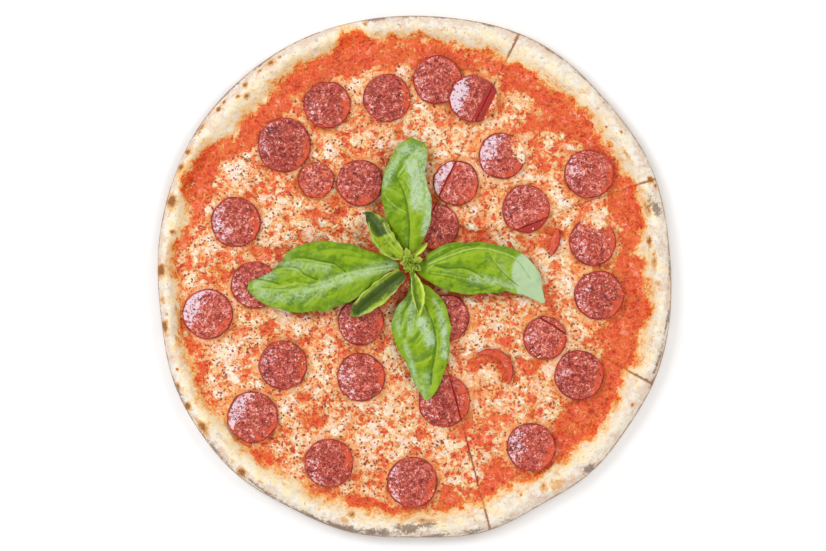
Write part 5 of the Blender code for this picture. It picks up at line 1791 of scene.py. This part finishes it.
def sheet_body(top: Array, low: Array, values: dict[str, Array]) -> MeshData:
    """A closed thin body from two grids of the same shape, joined all round their border."""
    rows, columns = top.shape[:2]
    count = rows * columns
    points = np.concatenate((top.reshape(-1, 3), low.reshape(-1, 3)))
    ids = np.arange(count).reshape(rows, columns)
    upper = np.stack((ids[:-1, :-1], ids[:-1, 1:], ids[1:, 1:], ids[1:, :-1]), axis=-1).reshape(-1, 4)
    loop = np.concatenate((ids[0, :-1], ids[:-1, -1], ids[-1, :0:-1], ids[:0:-1, 0]))
    after = np.roll(loop, -1)
    sides = np.stack((loop, loop + count, after + count, after), axis=-1)
    lifted = top[:-1, :-1]
    run, rise = top[:-1, 1:] - lifted, top[1:, :-1] - lifted
    outward = np.sum(run[..., 0] * rise[..., 1] - run[..., 1] * rise[..., 0]) > 0
    faces = np.concatenate((upper, upper[:, ::-1] + count, sides))
    if not outward:
        faces = faces[:, ::-1]
    fitted = {key: np.concatenate((np.ravel(value), np.ravel(value))) for key, value in values.items()}
    return MeshData(points, [faces], fitted)


def join(parts: Sequence[MeshData]) -> MeshData:
    """Several meshes as one, their point numbers moved on and faces of each size put together."""
    points = np.concatenate([part.points for part in parts])
    starts = np.concatenate(([0], np.cumsum([len(part.points) for part in parts])[:-1]))
    by_size: dict[int, list[Array]] = {}
    for part, start in zip(parts, starts):
        for faces in part.faces:
            by_size.setdefault(faces.shape[1], []).append(faces + start)
    values = {key: np.concatenate([part.values[key] for part in parts]) for key in parts[0].values}
    return MeshData(points, [np.concatenate(group) for group in by_size.values()], values)


@dataclass
class Spices:
    """Ground chilli flakes and dried herb specks, scattered over the cheese and the slices."""

    plan: Plan
    cheese: Cheese
    slices: Pepperoni
    seed: int = 23

    def grains(self, count: int, size_mm: tuple[float, float], flat: float, lean_left: float,
               seed: int) -> MeshData:
        """Many small flattened eight-sided grains, each turned at random.

        A grain is an octahedron with uneven corners, squashed by flat, and turned about the vertical.

        Args:
            count: how many are tried.
            size_mm: the smallest and largest half length.
            flat: thickness as a share of length.
            lean_left: how much denser they lie on the left.
            seed: for the random draw.
        """
        draw = np.random.default_rng(seed)
        x, y = draw.uniform(-0.135, 0.135, (2, count))
        radius, angle = np.hypot(x, y), np.arctan2(y, x)
        inside = radius < self.plan.cheese.radius(angle) + 4 * MM
        cluster = smooth(fractal(x, y, 9 * MM, 3, seed), -0.7, 0.6)
        chance = (0.45 + 0.55 * cluster) * (1 - lean_left * smooth(x, -0.05, 0.09))
        kept = inside & (draw.uniform(0, 1, count) < chance)
        x, y = x[kept], y[kept]
        number = len(x)
        ground = np.maximum(self.cheese.height(x, y), self.slices.height(x, y))
        size = draw.uniform(*size_mm, number) * MM
        corners = np.array(((1, 0, 0), (0, 1, 0), (-1, 0, 0), (0, -1, 0), (0, 0, 1), (0, 0, -1)), float)
        shape = corners[None] * draw.uniform(0.6, 1.3, (number, 6, 1)) * np.array((1.0, 0.62, flat))
        heading = draw.uniform(0, TURN, number)
        cos, sin = np.cos(heading)[:, None], np.sin(heading)[:, None]
        px = (shape[..., 0] * cos - shape[..., 1] * sin) * size[:, None] + x[:, None]
        py = (shape[..., 0] * sin + shape[..., 1] * cos) * size[:, None] + y[:, None]
        tilt = shape[..., 0] * draw.uniform(-0.35, 0.35, (number, 1))
        pz = (shape[..., 2] + tilt) * size[:, None] + ground[:, None] + 0.25 * flat * size[:, None]
        points = np.stack((px, py, pz), axis=-1).reshape(-1, 3)
        pattern = np.array(((0, 1, 4), (1, 2, 4), (2, 3, 4), (3, 0, 4),
                            (1, 0, 5), (2, 1, 5), (3, 2, 5), (0, 3, 5)))
        faces = (pattern[None] + 6 * np.arange(number)[:, None, None]).reshape(-1, 3)
        return MeshData(points, [faces])

    def build(self) -> None:
        """One piece for each kind of spice."""
        chilli = SpiceFinish("chilli_flake", (0.20, 0.022, 0.010), (0.48, 0.085, 0.028)).build()
        herb = SpiceFinish("dried_herb", (0.20, 0.075, 0.030), (0.34, 0.17, 0.065)).build()
        pale = SpiceFinish("cheese_crumb", (0.80, 0.52, 0.30), (0.87, 0.76, 0.60)).build()
        kinds = (("chilli_flakes", self.grains(9500, (0.30, 1.30), 0.30, 0.62, self.seed), chilli, Slot.MEAT),
                 ("herb_specks", self.grains(2000, (0.30, 0.75), 0.35, 0.3, self.seed + 1), herb,
                  Slot.DARK_LEAF),
                 ("cheese_crumbs", self.grains(1200, (0.3, 0.80), 0.4, 0.2, self.seed + 2), pale,
                  Slot.CHEESE))
        for name, data, material, slot in kinds:
            add_piece(name, data, material, slot, shade=False)


# ---- the studio ------------------------------------------------------------------------------------------


@dataclass(frozen=True)
class Studio:
    """A pale floor, soft light and a camera straight above."""

    frame_px: tuple[int, int] = (826, 551)
    camera_height: float = 2.2
    focus_height: float = 7 * MM
    sensor_mm: float = 36.0
    floor_span: float = 3.0
    sky_strength: float = 0.55

    def floor(self) -> None:
        """A large pale floor with a faint cloudy tone."""
        g = Graph("floor_pale")
        tone = g.ramp(g.noise(300, 2), ((0.3, (0.955, 0.955, 0.955)), (0.7, (0.965, 0.965, 0.965))))
        material = g.dress(Base_Color=tone, Roughness=0.9, Specular_IOR_Level=0.1)
        span = self.floor_span
        corners = np.array(((-span, -span, 0), (span, -span, 0), (span, span, 0), (-span, span, 0)))
        data = MeshData(corners - np.array((0, 0, 0.2 * MM)), [np.array(((0, 1, 2, 3),))])
        make_object("floor", data, material)

    def lamp(self, name: str, at: tuple[float, float, float], size: float, watts: float,
             colour: Colour) -> None:
        """A square soft lamp that faces the pizza."""
        light = bpy.data.lights.new(name, "AREA")
        light.shape = "SQUARE"
        light.size = size
        light.energy = watts
        light.color = colour
        body = bpy.data.objects.new(name, light)
        bpy.context.scene.collection.objects.link(body)
        body.location = at
        toward = -np.array(at) / np.linalg.norm(at)
        pitch = math.acos(-toward[2])
        body.rotation_euler = (pitch, 0.0, math.atan2(toward[1], toward[0]) - math.pi / 2)

    def build(self) -> None:
        """Camera, lamps, sky and floor."""
        scene = bpy.context.scene
        camera = bpy.data.cameras.new("overhead")
        camera.sensor_width = self.sensor_mm
        wide = self.frame_px[0] * PX
        distance = self.camera_height - self.focus_height
        camera.lens = self.sensor_mm * distance / wide
        camera.clip_end = 20
        body = bpy.data.objects.new("overhead", camera)
        scene.collection.objects.link(body)
        middle = place((self.frame_px[0] / 2, self.frame_px[1] / 2))
        body.location = (middle[0], middle[1], self.camera_height)
        scene.camera = body
        self.lamp("lamp_left", (-1.05, 0.60, 1.20), 0.9, 14.5, (0.97, 0.98, 1.0))
        self.lamp("lamp_right", (1.05, 0.65, 1.25), 0.8, 9.5, (1.0, 0.99, 0.97))
        self.lamp("lamp_front", (0.1, -1.30, 1.20), 0.8, 7.0, (1.0, 0.99, 0.98))
        world = bpy.data.worlds.new("soft_room")
        world.use_nodes = True
        sky = world.node_tree.nodes["Background"]
        sky.inputs["Color"].default_value = (1.0, 0.99, 0.98, 1.0)
        sky.inputs["Strength"].default_value = self.sky_strength
        scene.world = world
        scene.view_settings.view_transform = "Standard"
        self.floor()


def main() -> None:
    """Builds the pizza from the dough up, then its studio."""
    logging.basicConfig(level=logging.INFO, format="%(name)s %(message)s")
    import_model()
    levels = Levels()
    closed = Plan(cut_gap=0.07 * MM)
    cheese = Cheese(closed, levels)
    dough = Dough(closed, levels)
    dough.build(CrustFinish().build(), cheese)
    Sauce(closed, levels).build(SauceFinish().build(), cheese, dough)
    cheese.build(CheeseFinish().build())
    slices = Pepperoni(closed, levels)
    slices.build(MeatFinish().build())
    leaf = LeafFinish("basil_leaf_waxy", (0.210, 0.345, 0.004), (0.085, 0.185, 0.003), (0.30, 0.44, 0.020))
    dark = LeafFinish("basil_leaf_folded", (0.27, 0.385, 0.010), (0.026, 0.055, 0.003), (0.36, 0.47, 0.05),
                      (0.50, 0.62, 0.14))
    young = LeafFinish("basil_leaf_young", (0.36, 0.52, 0.016), (0.075, 0.150, 0.004), (0.50, 0.62, 0.08),
                       (0.68, 0.76, 0.18))
    BasilSprig().build({Slot.LEAF: leaf.build(), Slot.DARK_LEAF: dark.build(),
                        Slot.YOUNG_LEAF: young.build()})
    Spices(closed, cheese, slices).build()
    Studio().build()
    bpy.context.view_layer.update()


if __name__ == "__main__":
    main()
